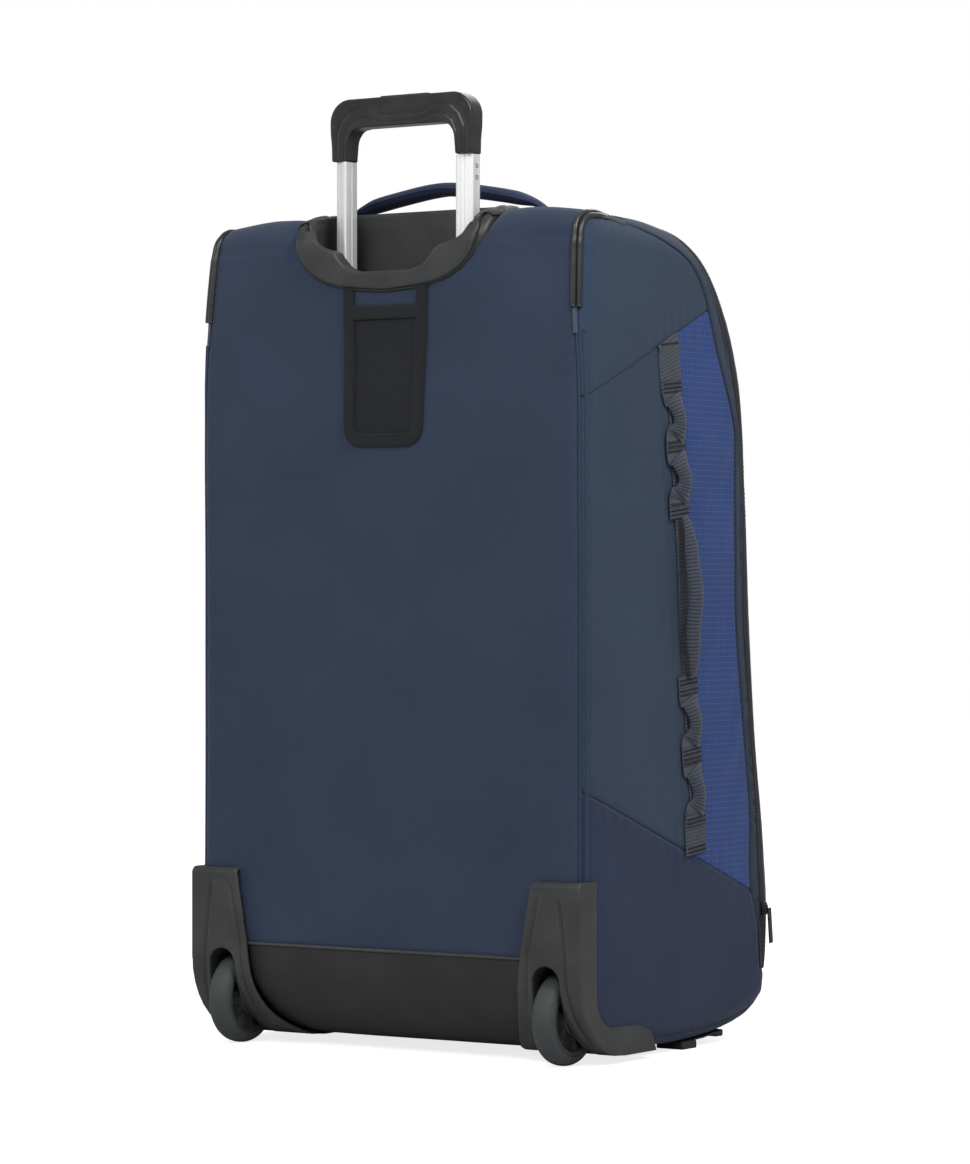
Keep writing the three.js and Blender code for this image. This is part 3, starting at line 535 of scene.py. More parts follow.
def crown(s, a):
    """Softness of the wide panels: the back leans in beside the bezel, the lid swells."""
    y, z = np.moveaxis(pick(s, ALONG, PROFILE), -1, 0)
    back = (y > 90) & (z > 100)
    beside = ease(np.abs(a), 118, 190)
    dip = -7.0 * ease(z, 650, 760) * (1 - ease(z, 766, 790)) * beside
    over = ease(y, 84, 110)
    rise = 6.5 * ease(z, 766, 791) * over * (1 - ease(np.abs(a), 140, 212)) * ease(np.abs(a), 106, 126)
    rise = rise - 3.5 * ease(z, 750, 780) * over * (1 - ease(np.abs(a), 106, 122))
    lean = -3.6 * ease(z, 596, 700) * (1 - 0.6 * ease(z, 740, 788)) * (1 - beside)
    dip = np.where(back, dip + rise + lean + 1.8 * np.exp(-(((z - 575) / 75) ** 2)), 0.0)
    swell = 4.0 * np.cos(np.clip(a / 230, -1, 1) * math.pi / 2)
    swell = swell * ease(s, S_LID, S_LID + 90) * ease(S_HINGE - s, 0, 90)
    swell = np.where((s > S_LID) & (s < S_HINGE), swell, 0.0)
    waves = 0.55 * np.sin(a / 47 + s / 83) + 0.5 * np.sin(s / 57 - a / 90 + 0.7)
    waves = waves + 0.25 * np.sin(a / 23 - s / 31)
    calm = 1.0  # no waves at the seams
    for seam in (S_TOP, S_LID, S_HINGE):
        calm = calm * ease(np.abs(s - seam), 5, 60)
    return dip + swell + waves * calm * np.where(z > 110, 1.0, 0.3)


def lateral(inset, s):
    """The lateral distance a of a point that lies inset from the profile."""
    radius = edge_radius(s)
    rolled = radius * np.arccos(np.clip(1 - np.minimum(inset, radius) / radius, -1, 1))
    return HALF_W - radius + rolled + np.maximum(inset - radius, 0)


def on_side(y, z, side, out=0.0):
    """The skin's point over (y, z) of the side view."""
    inset, s = nearest(y, z)
    radius = edge_radius(s)
    cos = np.clip(1 - inset / radius, 0, 1)
    sin = np.sqrt(1 - cos**2)
    x = HALF_W - radius + radius * sin + bulge(inset, y, z) * sin**2 + out
    lift = crown(s, side * lateral(inset, s)) * cos
    way = pick(s, ALONG, OUTWARD) * lift[..., None]
    return np.stack([side * x, y + way[..., 0], z + way[..., 1]], -1)


def normal_at(s, a):
    """Direction out of the skin."""
    return unit(surface(s, a, 9) - surface(s, a, 0))


MIDDLE = np.array([0, 0, 400.0])  # inside the bag


class Panel:
    """One piece of cloth: a grid of points, tucked in at its seams, with a lining behind it."""

    def __init__(self, name, grid, finish, body, uv=None, seams="uvUV", pucker=0.35, wrinkle=None,
                 keep=None, thick=2.4, replaces=(), valley=1.3, lining="lining_grey"):
        grid = np.asarray(grid, float)
        normal = np.cross(np.gradient(grid, axis=0), np.gradient(grid, axis=1))
        normal /= np.maximum(np.linalg.norm(normal, axis=-1), 1e-9)[..., None]
        flip = (normal * (grid - MIDDLE)).sum() < 0  # the normals point out of the bag
        normal = -normal if flip else normal
        du, dv = (np.zeros(grid.shape[:2]) for _ in range(2))
        du[1:] = np.cumsum(np.linalg.norm(np.diff(grid, axis=0), axis=-1), 0)
        dv[:, 1:] = np.cumsum(np.linalg.norm(np.diff(grid, axis=1), axis=-1), 1)
        edges = {"u": (du, dv), "U": (du[-1:] - du, dv), "v": (dv, du), "V": (dv[:, -1:] - dv, du)}
        lift = np.zeros(grid.shape[:2])
        for key, (gap, run) in edges.items():
            if key in seams:
                lift -= valley * np.exp(-((gap / 2.6) ** 2))
                wave = np.sin(run / 3.1 + 2 * np.sin(run / 29)) * np.sin(run / 41 + 0.6)
                lift += pucker * wave * np.exp(-gap / 14) * ease(gap, 0.5, 5)
        if wrinkle is not None:
            near = np.minimum.reduce([edges[k][0] for k in "uUvV"])
            lift += wrinkle * ease(near, 2, 22)
        self.grid = grid + normal * lift[..., None]
        self.normal, self.edges = normal, edges
        if uv is None:
            uv = np.stack([dv, du], -1)
        faces = grid_faces(*grid.shape[:2], keep=keep)
        if flip:
            faces = [f[::-1] for f in faces]
        uv = np.asarray(uv, float).reshape(-1, 2) * MM
        obj = make(name, self.grid.reshape(-1, 3), faces, finish, body, uv, replaces=replaces, inner=lining)
        if keep is not None:
            drop_loose(obj)
        modify(obj, "SOLIDIFY", thickness=thick * MM, offset=-1, material_offset=1,
               material_offset_rim=0, use_even_offset=False)
        apply_modifiers(obj)

    def line(self, edge, gap, out=0.1):
        """Points and normals on the panel along one of its edges, gap in from it."""
        parts = self.edges[edge][0], self.grid, self.normal
        if edge in "vV":
            parts = [np.swapaxes(part, 0, 1) for part in parts]
        rows, grid, normal = (part[::-1] if edge in "UV" else part for part in parts)
        across = range(rows.shape[1])
        at, way = (
            np.array([pick(gap, rows[:, j], values[:, j]) for j in across]) for values in (grid, normal)
        )
        return at + way * out, way


def drop_loose(obj):
    bm = bmesh.new()
    bm.from_mesh(obj.data)
    bmesh.ops.delete(bm, geom=[v for v in bm.verts if not v.link_faces], context="VERTS")
    bm.to_mesh(obj.data)
    bm.free()


def stitches(name, lines, body, length=3.0, gap=1.3, width=0.42, finish="thread"):
    """Rows of thread stitches along (points, normals) lines, as one mesh of small capsules."""
    points, faces, uv = [], [], []
    for line, normal in lines:
        total = lengths(line)
        for start in np.arange(gap, total[-1] - length, length + gap):
            ends = [pick(start + k, total, line) for k in (0, length)]
            up = unit(pick(start + length / 2, total, normal))
            side = np.cross(unit(ends[1] - ends[0]), up) * width
            up = up * width
            base = len(points)
            for t, r in ((0.0, 0.25), (0.2, 1.0), (0.8, 1.0), (1.0, 0.25)):
                mid = ends[0] * (1 - t) + ends[1] * t
                rise = up * (r - 0.5)
                points += [mid + rise + way for way in (side * r, up * r * 0.7, -side * r, -up * r * 0.7)]
                uv += [(t * length * MM, k * width * MM) for k in range(4)]
            for row in range(base, base + 12, 4):
                for j, k in ((0, 1), (1, 2), (2, 3), (3, 0)):
                    faces.append((row + j, row + k, row + 4 + k, row + 4 + j))
            faces += [(base + 3, base + 2, base + 1, base), tuple(range(base + 12, base + 16))]
    return make(name, points, faces, finish, body, uv)


def coons(low, high, left, right, rows, cols):
    """A grid filled between four edge lines: low and high run left to right, left and right run up."""
    low, high = resample(low, cols), resample(high, cols)
    left, right = resample(left, rows), resample(right, rows)
    u = np.linspace(0, 1, cols)[None, :, None]
    v = np.linspace(0, 1, rows)[:, None, None]
    ruled = (1 - v) * low[None] + v * high[None] + (1 - u) * left[:, None] + u * right[:, None]
    corners = (1 - u) * (1 - v) * low[0] + u * (1 - v) * low[-1]
    return ruled - (corners + (1 - u) * v * high[0] + u * v * high[-1])


# ---------------------------------------------------------------- seam lines of the side view
def corner_angle(s):
    """How far round the back edge its seam lies: nearer the back from the bezel's height up."""
    keys = [on_back(600), on_back(690), at_profile(112, 792), S_TOP]
    return np.interp(s, keys, [CORNER, CORNER_HIGH, CORNER_HIGH, CORNER])


def rim_point(s, angle):
    """The (y, z) of the skin's rounded edge where it has turned by an angle."""
    inset = edge_radius(s) * (1 - np.cos(angle))
    return pick(s, ALONG, PROFILE) - pick(s, ALONG, OUTWARD) * np.asarray(inset)[..., None]


CORNER = math.radians(45)  # where round the back edge its seam lies
CORNER_HIGH = math.radians(33)
BELOW = math.radians(60)  # and the same for the seam under the bag
ZIP_INSET = 27.0
BAND_INSET = 34.0


def hinge_in(inset):
    """The (y, z) of the lid's fold line, inset from the profile."""
    return tuple(pick(S_HINGE, ALONG, PROFILE) - inset * pick(S_HINGE, ALONG, OUTWARD))


band_keys = [tuple(rim_point(np.array([S_TOP]), CORNER)[0]), (50, 776), (15, 767), (-18, 753)]
band_keys += [(-36, 736), (-48, 716), (-56, 698), (-64, 678), (-79, 648), (-94, 617), (-100.5, 600)]
band_keys += [(-102, 569), (-102, 516), (-104, 424), (-112, 348), (-123, 277), (-130, 217)]
band_keys += [(-134, 146), (-144, 118), (-150, 92), hinge_in(BAND_INSET)]
BAND_SEAM = smooth_line(band_keys, 4)
zip_keys = [(-10, 784), (-36, 763), (-63, 731), (-97, 650), (-118, 560), (-118, 430), (-141, 240)]
ZIP_LINE = smooth_line([*zip_keys, hinge_in(ZIP_INSET)], 4)


def unrolled(line, first=None):
    """A side-view line as (s, a) places on the skin."""
    inset, s = nearest(line[:, 0], line[:, 1])
    a = lateral(inset, s)
    places = np.stack([s, a], 1)
    if first is not None:
        places[0] = first
    return places


def cut(line, start, end):
    """The stretch of a line between its points nearest to start and end."""
    i = np.linalg.norm(line - np.array(start), axis=1).argmin()
    j = np.linalg.norm(line - np.array(end), axis=1).argmin()
    return line[min(i, j) : max(i, j) + 1]


def seam_a(s, angle=0.0):
    """Lateral place of a seam that lies an angle round the skin's rounded edge."""
    return HALF_W - edge_radius(s) * (1 - angle)


def corner_a(s):
    return seam_a(s, corner_angle(s))


UPPER_FRONT = cut(BAND_SEAM, band_keys[0], (-56, 710))[-1]
LOWER_FRONT = cut(BAND_SEAM, band_keys[0], (-133, 146))[-1]


def back_seam(z0, z1):
    """The (y, z) of the back edge's seam between two heights."""
    s = np.linspace(on_back(z0), on_back(z1), 80)
    return rim_point(s, corner_angle(s))


UPPER_BACK = back_seam(UPPER_Z, UPPER_Z)[0]
LOWER_BACK = back_seam(LOWER_Z, LOWER_Z)[0]
STRAP_LOW, STRAP_TOP = np.array([-23.0, 188.0]), np.array([27.0, 676.0])
STRAP_U = unit(STRAP_TOP - STRAP_LOW)
STRAP_ACROSS = np.array([STRAP_U[1], -STRAP_U[0]])
STRAP_LEN = float(np.linalg.norm(STRAP_TOP - STRAP_LOW))


def crossing(p, q, r, t):
    """Where the line p-q meets the line r-t."""
    d, e = np.subtract(q, p), np.subtract(t, r)
    k = (e[0] * (r[1] - p[1]) - e[1] * (r[0] - p[0])) / (e[0] * d[1] - e[1] * d[0])
    return np.asarray(p) + k * d


UPPER_MID = crossing(UPPER_BACK, UPPER_FRONT, STRAP_LOW, STRAP_TOP)
LOWER_MID = crossing(LOWER_BACK, LOWER_FRONT, STRAP_LOW, STRAP_TOP)


# ---------------------------------------------------------------- wheel housing outlines
def housing_inner_x(z):
    """The inner edge of a wheel housing, seen from behind."""
    return np.interp(z, [5, 25, 66, 100, 158, 172, 174], [116, 140, 153, 157, 167, 173, 400])


def housing_side_shape(y, z, inset=0.0):
    """True where a housing's side flange, drawn in by inset, covers the side view."""
    front = y > 153 + inset
    low = z < 172 - inset
    corner = (y > 123) & (z < 65) & ((y - 123) ** 2 + (z - 65) ** 2 > (30 + inset) ** 2)
    skid = (y > 60) & (z < np.interp(y, [60, 78, 123], [26, 33, 36]) - inset)
    return (front & low & (z >= 65)) | corner | skid


# ---------------------------------------------------------------- shell panels
def back_shell():
    """The cloth of the back, open where the bezel and the wheel housings sit."""
    s = np.linspace(S_KICK, S_TOP, 232)
    a = np.linspace(-1, 1, 121)[None] * corner_a(s)[:, None]
    grid = surface(s[:, None], a)
    z = (grid[:-1, :-1, 2] + grid[1:, 1:, 2]) / 2
    x = np.abs(grid[:-1, :-1, 0] + grid[1:, 1:, 0]) / 2
    y = grid[:-1, :-1, 1]
    keep = (z > 170) | (x < housing_inner_x(z) + 7)
    keep &= ~((np.abs(grid[:-1, :-1, 0]) < bezel_half(z) - 10) & (z > 735) & (y > 109))
    uv = pairs(a, s[:, None])
    Panel("back_shell", grid, "fabric_slate", "bag", uv, keep=keep, replaces=["back_panel"])


def bezel_half(z):
    """Half width of the handle bezel at a height."""
    return np.interp(z, [723.9, 724, 728, 734, 742, 755, 772, 790, 804], [0, 20, 46, 69, 84, 97, 104, 108, 113])


def top_band():
    """The U of cloth between the zip and the side panels, over the top and down both sides."""
    band = unrolled(BAND_SEAM, (S_TOP, corner_a(S_TOP)))
    zip_ = unrolled(ZIP_LINE, (S_LID, seam_a(S_LID)))
    count = 190
    down_a, down_b = resample(band, count), resample(zip_, count)
    k = np.linspace(0, 1, 52)[:-1, None]
    over_a = np.hstack([np.full_like(k, S_TOP), k * corner_a(S_TOP)])
    over_b = np.hstack([np.full_like(k, S_LID), k * seam_a(S_LID)])
    a, b = np.vstack([over_a, down_a]), np.vstack([over_b, down_b])
    mirror = np.array([1, -1])
    a = np.vstack([(a * mirror)[::-1][:-1], a])
    b = np.vstack([(b * mirror)[::-1][:-1], b])
    t = np.linspace(0, 1, 13)[None, :, None]
    place = a[:, None] * (1 - t) + b[:, None] * t
    grid = surface(place[..., 0], place[..., 1])
    return Panel("top_band", grid, "fabric_slate", "bag", seams="vV", pucker=0.3,
                 replaces=["top_panel"])


def lid_shell():
    zip_ = unrolled(ZIP_LINE, (S_LID, seam_a(S_LID)))
    order = np.maximum.accumulate(zip_[:, 0] + np.arange(len(zip_)) * 1e-6)
    s = np.concatenate([S_LID + np.linspace(0, 60, 26)[:-1], np.linspace(S_LID + 60, S_HINGE, 170)])
    limit = np.interp(s, order, zip_[:, 1])
    a = np.linspace(-1, 1, 125)[None] * limit[:, None]
    grid = surface(s[:, None], a)
    uv = pairs(a, s[:, None])
    return Panel("lid_shell", grid, "fabric_slate", "lid", uv,
                 replaces=["lid_panel", "lid_rim_left", "lid_rim_right"])


def bottom_shell():
    s = np.linspace(S_HINGE, LOOP, 74)
    a = np.linspace(-1, 1, 101)[None] * seam_a(s, BELOW)[:, None]
    grid = surface(s[:, None], a)
    keep = ~((grid[:-1, :-1, 1] > 52) & (np.abs(grid[:-1, :-1, 0]) > 118))
    uv = pairs(a, s[:, None])
    Panel("bottom_shell", grid, "fabric_navy", "bag", uv, keep=keep, pucker=0.2,
          replaces=["bottom_panel"])


def side_zone(name, finish, corners, side, rows, cols, wrinkle=None, keep=None, **extra):
    yz = coons(*corners, rows, cols)
    y, z = yz[..., 0], yz[..., 1]
    grid = on_side(y, z, side)
    held = keep(y[:-1, :-1], z[:-1, :-1], y[1:, 1:], z[1:, 1:]) if keep else None
    folds = wrinkle(y, z) if wrinkle else None
    return Panel(f"{name}_{PAIR[side]}", grid, finish, "bag", yz, wrinkle=folds, keep=held, **extra)


def ripstop_folds(y, z):
    """Diagonal creases of the thin cloth, stronger at some heights than at others."""
    run = (z * 0.82 + y * 0.57) / 13
    swell = np.sin(run + 1.6 * np.sin(z / 47) + 0.8 * np.sin(y / 17))
    return 0.95 * swell * (0.45 + 0.55 * np.sin(z / 71 + 0.4) ** 2)


def calm_folds(y, z):
    return 0.35 * np.sin((z * 0.4 + y) / 21 + np.sin(z / 55)) * (0.5 + 0.5 * np.sin(z / 90 + 2))


def side_shell(side):
    """The four pieces of cloth of one side: top, middle, ripstop front strip and low."""
    upper_a, upper_b = np.array([UPPER_BACK, UPPER_MID]), np.array([UPPER_MID, UPPER_FRONT])
    lower_a, lower_b = np.array([LOWER_BACK, LOWER_MID]), np.array([LOWER_MID, LOWER_FRONT])
    roll = at_profile(138 + 30, 755 + 30)
    climb, across = np.linspace(on_back(UPPER_Z), roll, 40), np.linspace(roll, S_TOP, 30)
    up, over = rim_point(climb, corner_angle(climb)), rim_point(across, corner_angle(across))
    top_front = cut(BAND_SEAM, band_keys[0], UPPER_FRONT)[::-1]
    panels = {}
    panels["top"] = side_zone(
        "side_top", "fabric_side", ([UPPER_BACK, UPPER_FRONT], over, up, top_front), side, 60, 84,
        wrinkle=calm_folds, replaces=[f"side_panel_{PAIR[side]}"])
    rear, middle = back_seam(LOWER_Z, UPPER_Z), [LOWER_MID, UPPER_MID]
    panels["mid"] = side_zone(
        "side_mid", "fabric_side", (lower_a, upper_a, rear, middle), side, 150, 62, wrinkle=calm_folds)
    front = cut(BAND_SEAM, UPPER_FRONT, LOWER_FRONT)[::-1]
    panels["blue"] = side_zone(
        "side_blue", "fabric_blue", (lower_b, upper_b, middle, front), side, 190, 44,
        wrinkle=ripstop_folds)
    mid_corner = at_profile(95 + 57, 90 - 57)
    low_front = [hinge_in(13.0), hinge_in(20.0), hinge_in(BAND_INSET)]
    low_front = np.vstack([*low_front, cut(BAND_SEAM, BAND_SEAM[-1], LOWER_FRONT)[::-1][1:]])
    under = rim_point(np.linspace(S_HINGE, LOOP, 60), BELOW)
    kick = rim_point(np.linspace(0, mid_corner, 20), BELOW)
    lower = np.vstack([under, kick[1:]])[::-1]
    climb = np.linspace(mid_corner, on_back(LOWER_Z), 50)
    rear = rim_point(climb, corner_angle(climb))
    clear = lambda y, z, y2, z2: ~(housing_side_shape(y, z, 6) & housing_side_shape(y2, z2, 6))
    panels["low"] = side_zone(
        "side_low", "fabric_navy", (lower, [LOWER_BACK, LOWER_FRONT], rear, low_front), side, 66, 96,
        wrinkle=calm_folds, keep=clear)
    return panels


back_shell()
band = top_band()
lid = lid_shell()
bottom_shell()
sides = {side: side_shell(side) for side, _ in SIDES}

place_camera()
place_lights()


# ---------------------------------------------------------------- moulded and turned pieces
def rounded(name, node, finish, voxel=1.2, rounds=5, shape=None):
    """A CAD node's shape with soft moulded edges; shape(points, normals) may carve its surface."""
    obj = placed(name, NODES[node].data.copy())
    return soften(obj, finish, NODES[node]["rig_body"], voxel, rounds, shape, [node])


def soften(obj, finish, body, voxel, rounds, shape=None, replaces=()):
    modify(obj, "REMESH", mode="VOXEL", voxel_size=voxel * MM)
    modify(obj, "SMOOTH", factor=0.5, iterations=rounds)
    apply_modifiers(obj)
    mesh = obj.data
    if shape:
        points = np.array([v.co for v in mesh.vertices]) / MM
        normals = np.array([v.normal for v in mesh.vertices])
        points = shape(points, normals) * MM
        mesh.vertices.foreach_set("co", points.ravel().astype(np.float32))
        mesh.update()
    mesh.shade_smooth()
    mesh.materials.clear()
    mesh.materials.append(M[finish])
    return attached(obj, body, replaces)


def extruded(name, outline_xz, y0, y1, bevel, segments=5):
    """An (x, z) outline extruded along Y with rounded edges, as an object without a body yet."""
    bm = bmesh.new()
    ring = [bm.verts.new((x * MM, y0 * MM, z * MM)) for x, z in outline_xz]
    face = bm.faces.new(ring)
    made = bmesh.ops.extrude_face_region(bm, geom=[face])
    moved = [v for v in made["geom"] if isinstance(v, bmesh.types.BMVert)]
    bmesh.ops.translate(bm, verts=moved, vec=(0, (y1 - y0) * MM, 0))
    bmesh.ops.recalc_face_normals(bm, faces=bm.faces)
    mesh = bpy.data.meshes.new(name)
    bm.to_mesh(mesh)
    bm.free()
    obj = placed(name, mesh)
    modify(obj, "BEVEL", width=bevel * MM, segments=segments, limit_method="ANGLE",
           angle_limit=math.radians(50))
    apply_modifiers(obj)
    return obj


def mirror_line(line):
    """A line of the +X half joined to its mirror image, running from -X to +X."""
    line = np.asarray(line, float)
    return np.vstack([(line * (-1, 1)), line[::-1][1:] if line[-1][0] == 0 else line[::-1]])


def grip():
    """The pull handle's loop, with two parting lines on its back and one in front."""
    right = smooth_line([(45, 882), (54, 880), (60, 873), (62, 862), (62.8, 851)], 1.5)
    outer = smooth_line([(79.6, 851), (80, 866), (81.2, 878), (81.5, 888)], 1.5)
    right = [*right, *outer, *arc(59.5, 888, 22, 0, 90, 22)[1:]]
    points = right + [(-x, z) for x, z in right[::-1]]
    obj = extruded("grip_moulding", points, 129.4, 150.6, 8.2, 8)
    high = [(74.6, 850), (74, 877), (68, 890), (58, 898.5), (46, 900.5), (36, 899), (25, 893.4), (0, 892.8)]
    low = [(66, 850), (65, 872), (60, 884), (52, 889.5), (42, 891.5), (33, 890), (25, 886.4), (0, 886)]
    high, low = mirror_line(high), mirror_line(low)

    def carve(points, normals):
        back = points[:, 1] > 142
        for line in (high, low):
            gap = gaps(points[:, [0, 2]], line)[1].min(1)
            points = points - normals * np.where(back, 1.35 * np.exp(-(gap**2)), 0)[:, None]
        front = points[:, 1] < 132
        split = gaps(points[:, [0, 2]], high)[1].min(1)
        return points - normals * np.where(front, 0.7 * np.exp(-((split / 0.9) ** 2)), 0)[:, None]

    soften(obj, "plastic_gloss", "handle", 0.8, 6, carve, ["grip"])


def grip_button():
    half, top = 29, 911.9
    points = [(-half, 893), (half, 893), (half, 910), (half - 2, top), (2 - half, top), (-half, 910)]
    obj = extruded("button_cap", points, 131.5, 144.5, 2.2, 4)
    soften(obj, "plastic_dark", "button", 0.7, 3, None, ["grip_button"])


def trolley_tube(side, pair):
    """A sliding tube: deep inner flat, sloping back, with two drawn grooves along it."""
    section = [(64.5, 130), (77, 130), (78.4, 130.6), (79, 132), (79, 134.6), (78.6, 135), (79, 135.4)]
    section += [(79, 141.4), (78.6, 142.7), (77.4, 144), (72.4, 146.3), (72.1, 145.9), (71.6, 146.1)]
    section += [(71.5, 146.7), (68.3, 148.2), (67.9, 147.6), (67.2, 147.9), (67, 148.8), (65.6, 149.4)]
    section += [(64.4, 149.4), (63.6, 149), (63.3, 148.2), (63.3, 140.6), (63.9, 140.1)]
    section += [(63.9, 139.2), (63.3, 138.7), (63.3, 131.2), (63.7, 130.3)]
    z = np.linspace(330, 850.7, 40)
    ring = np.array(section) * (side, 1)
    n = len(ring)
    points = np.array([[x, y, h] for h in z for x, y in ring])
    faces = grid_faces(len(z), n, closed_cols=True, caps=True)
    if side > 0:
        faces = [f[::-1] for f in faces]
    obj = make(f"trolley_tube_{pair}", points, faces, "aluminium", "handle",
               replaces=[f"handle_tube_{pair}"])
    obj.data.set_sharp_from_angle(angle=math.radians(22))
    if side < 0:
        for k, height in enumerate((840, 829)):
            a = np.linspace(0, 2 * math.pi, 25)[:-1]
            loop = np.stack([np.full_like(a, -79.05), 136.9 + 1.9 * np.cos(a), height + 1.9 * np.sin(a)], 1)
            loop = np.vstack([loop, loop[:1]])
            tube(f"tube_dimple_{k}", loop, 0.32, "plastic_dark", "handle", 6, normal=(1, 0, 0))


def bezel():
    """The handle's bezel, its crown rounded down into the cloth, and a dark gasket bead under its rim that also
    paints the shadow line there.
    """

    def shape(points, normals):
        drop = np.interp(np.abs(points[:, 0]), [103, 107, 110, 114], [0, 0.6, 1.8, 4.5])
        points[:, 2] -= drop * ease(points[:, 2], 772, 790)
        swell = ease(points[:, 2], 750, 775) * ease(np.abs(points[:, 0]), 84, 98)
        points[:, 1] += 1.6 * swell * ease(points[:, 1], 140, 150)
        return points

    rounded("bezel_moulding", "handle_bezel", "plastic_black", 1.35, 7, shape)
    z = np.concatenate([np.linspace(779, 735, 40), np.linspace(734, 725, 16)])
    right = np.stack([bezel_half(z) + 0.9, z], 1)
    line = resample(np.vstack([right, [(0, 723.4)], (right * (-1, 1))[::-1]]), 200)
    wall = (ALONG > S_KICK) & (ALONG < at_profile(138, 792))
    s = np.interp(line[:, 1], PROFILE[wall, 1], ALONG[wall])
    path = surface(s, line[:, 0], 0.5)
    # partly painted shadow: the dark bead stands for a gasket and for the shadow line under the rim's edge
    tube("bezel_gasket", path, 1.8, "plastic_dark", "bag", 8, normal=(0, 1, 0.1))
    for side, pair in SIDES:
        horn = [(99, 169, 760), (103.5, 164.5, 774), (105, 153, 787.5), (104.5, 136, 794.5), (100, 112, 797)]
        horn = smooth_line(horn, 2)
        run = lengths(horn)
        girth = 6.4 * np.minimum(ease(run, -6, 14), ease(run[-1] - run, -10, 16))
        tube(f"bezel_horn_{pair}", horn * (side, 1, 1), np.maximum(girth, 1.0), "plastic_black", "bag", 18,
             normal=(side, 0.2, 0.4))


def housing_grooves(points, normals):
    """The raised field above the wheel arch, between two grooves that lean apart downward."""
    x, y, z = np.abs(points[:, 0]), points[:, 1], points[:, 2]
    rear = ease(normals[:, 1], 0.35, 0.75)
    inner = np.interp(z, [40, 66, 100, 150, 160], [160, 163.5, 165, 175, 178])
    outer = np.interp(z, [20, 45, 70, 100, 130, 152, 158], [214, 210, 207.5, 206, 203, 199.5, 199])
    fade = ease(z, 40, 70) * ease(158 - z, 0, 5)
    low_fade = ease(z, 14, 24) * ease(158 - z, 0, 5)
    depth = 1.7 * np.exp(-(((x - inner) / 1.5) ** 2)) * fade
    depth = depth + 1.9 * np.exp(-(((x - outer) / 1.6) ** 2)) * low_fade
    field = ease(x, inner + 0.5, inner + 4) * ease(outer - x, 0.5, 4)
    field = field * ease(162 - z, 0, 12) * ease(z, 20, 60)
    return points + normals * ((0.9 * field - depth) * rear)[:, None]


HUB = np.array([186, 151, 44])  # centre of the left wheel
TYRE_R, TYRE_HALF = 44, 12
SPOKES = 6
SPOKE = ((14.6, 3.4, 8.6), (20, 2.3, 8.2), (26, 2.3, 8.2), (30.6, 3.6, 8.8))  # radius, half width, half depth
SOFT_SQUARE = ((1, 0.8), (0.8, 1), (-0.8, 1), (-1, 0.8), (-1, -0.8), (-0.8, -1), (0.8, -1), (1, -0.8))


def wheel(side, pair):
    """Tyre, spoked hub and its lip, turned round the axle."""
    hub = HUB * (side, 1, 1)
    cx, cy, cz = hub

    def turned(name, profile, finish, replaces=()):
        profile = np.asarray(profile, float)
        a = np.linspace(0, 2 * math.pi, 97)[:-1]
        points = [(cx + p[1], cy + p[0] * math.cos(k), cz + p[0] * math.sin(k)) for k in a for p in profile]
        faces = grid_faces(len(a), len(profile), closed_rows=True, closed_cols=True)
        obj = make(name, points, faces, finish, f"wheel_{pair}", replaces=replaces)
        obj.data.set_sharp_from_angle(angle=math.radians(35))
        return obj

    tread = [
        (TYRE_R - 9 * (1 - math.cos(t)) ** 1.15, min(max(TYRE_HALF * math.sin(t), -11.7), 11.7))
        for t in np.radians(np.linspace(-72, 72, 19))
    ]
    tyre = [(34.8, -11.2), (36.4, -11.9), *tread, (36.4, 11.9), (34.8, 11.2)]
    turned(f"tyre_{pair}", tyre, "tyre_black", [f"wheel_tyre_{pair}"])
    rim = [(30.4, -10.6), (31, -11.4), (33.8, -11.6), (34.6, -11), (34.6, 11), (33.8, 11.6)]
    rim += [(31, 11.4), (30.4, 10.6), (29.8, 6), (29.8, -6)]
    turned(f"rim_{pair}", rim, "plastic_black", [f"wheel_hub_{pair}"])
    boss = [(11.4, -11), (14, -11.4), (15.2, -10.4), (16, 0), (15.2, 10.4), (14, 11.4), (11.4, 11)]
    turned(f"boss_{pair}", boss, "plastic_black")
    points, faces = [], []
    for k in range(SPOKES):
        turn = math.radians(360 / SPOKES * k + 15)
        run = np.array([0, math.cos(turn), math.sin(turn)])
        across = np.array([0, -math.sin(turn), math.cos(turn)])
        base = len(points)
        for r, half, deep in SPOKE:
            for c, d in SOFT_SQUARE:
                points.append(hub + run * r + across * half * c + np.array([deep * d, 0, 0]))
        quads = grid_faces(len(SPOKE), len(SOFT_SQUARE), closed_cols=True, caps=True)
        faces += [tuple(base + i for i in face) for face in quads]
    obj = make(f"spokes_{pair}", points, faces, "plastic_black", f"wheel_{pair}")
    obj.data.set_sharp_from_angle(angle=math.radians(50))


def kick_plate():
    """The scuffed plastic skirt under the back cloth, between the wheel housings, with its lip."""
    s = np.linspace(2, S_KICK + 2, 60)
    z = np.interp(s, ALONG, PROFILE[:, 1])
    share = np.linspace(-1, 1, 75)
    grid = surface(s[:, None], share[None] * (housing_inner_x(z)[:, None] + 3.5), 1.0)
    # partly painted shade: the skin's finish is darker than its lip and lining, both for its own darker plastic
    # and for the shade low under the bag
    Panel("kick_plate_skin", grid, "plastic_dark", "bag", seams="", thick=2.6, lining="plastic_black",
          replaces=["kick_plate"])
    edge = surface(np.full(90, S_KICK + 2.2), np.linspace(-163, 163, 90), 1.2)
    tube("kick_plate_lip", edge, 1.7, "plastic_black", "bag", 8, normal=(0, 1, 0))


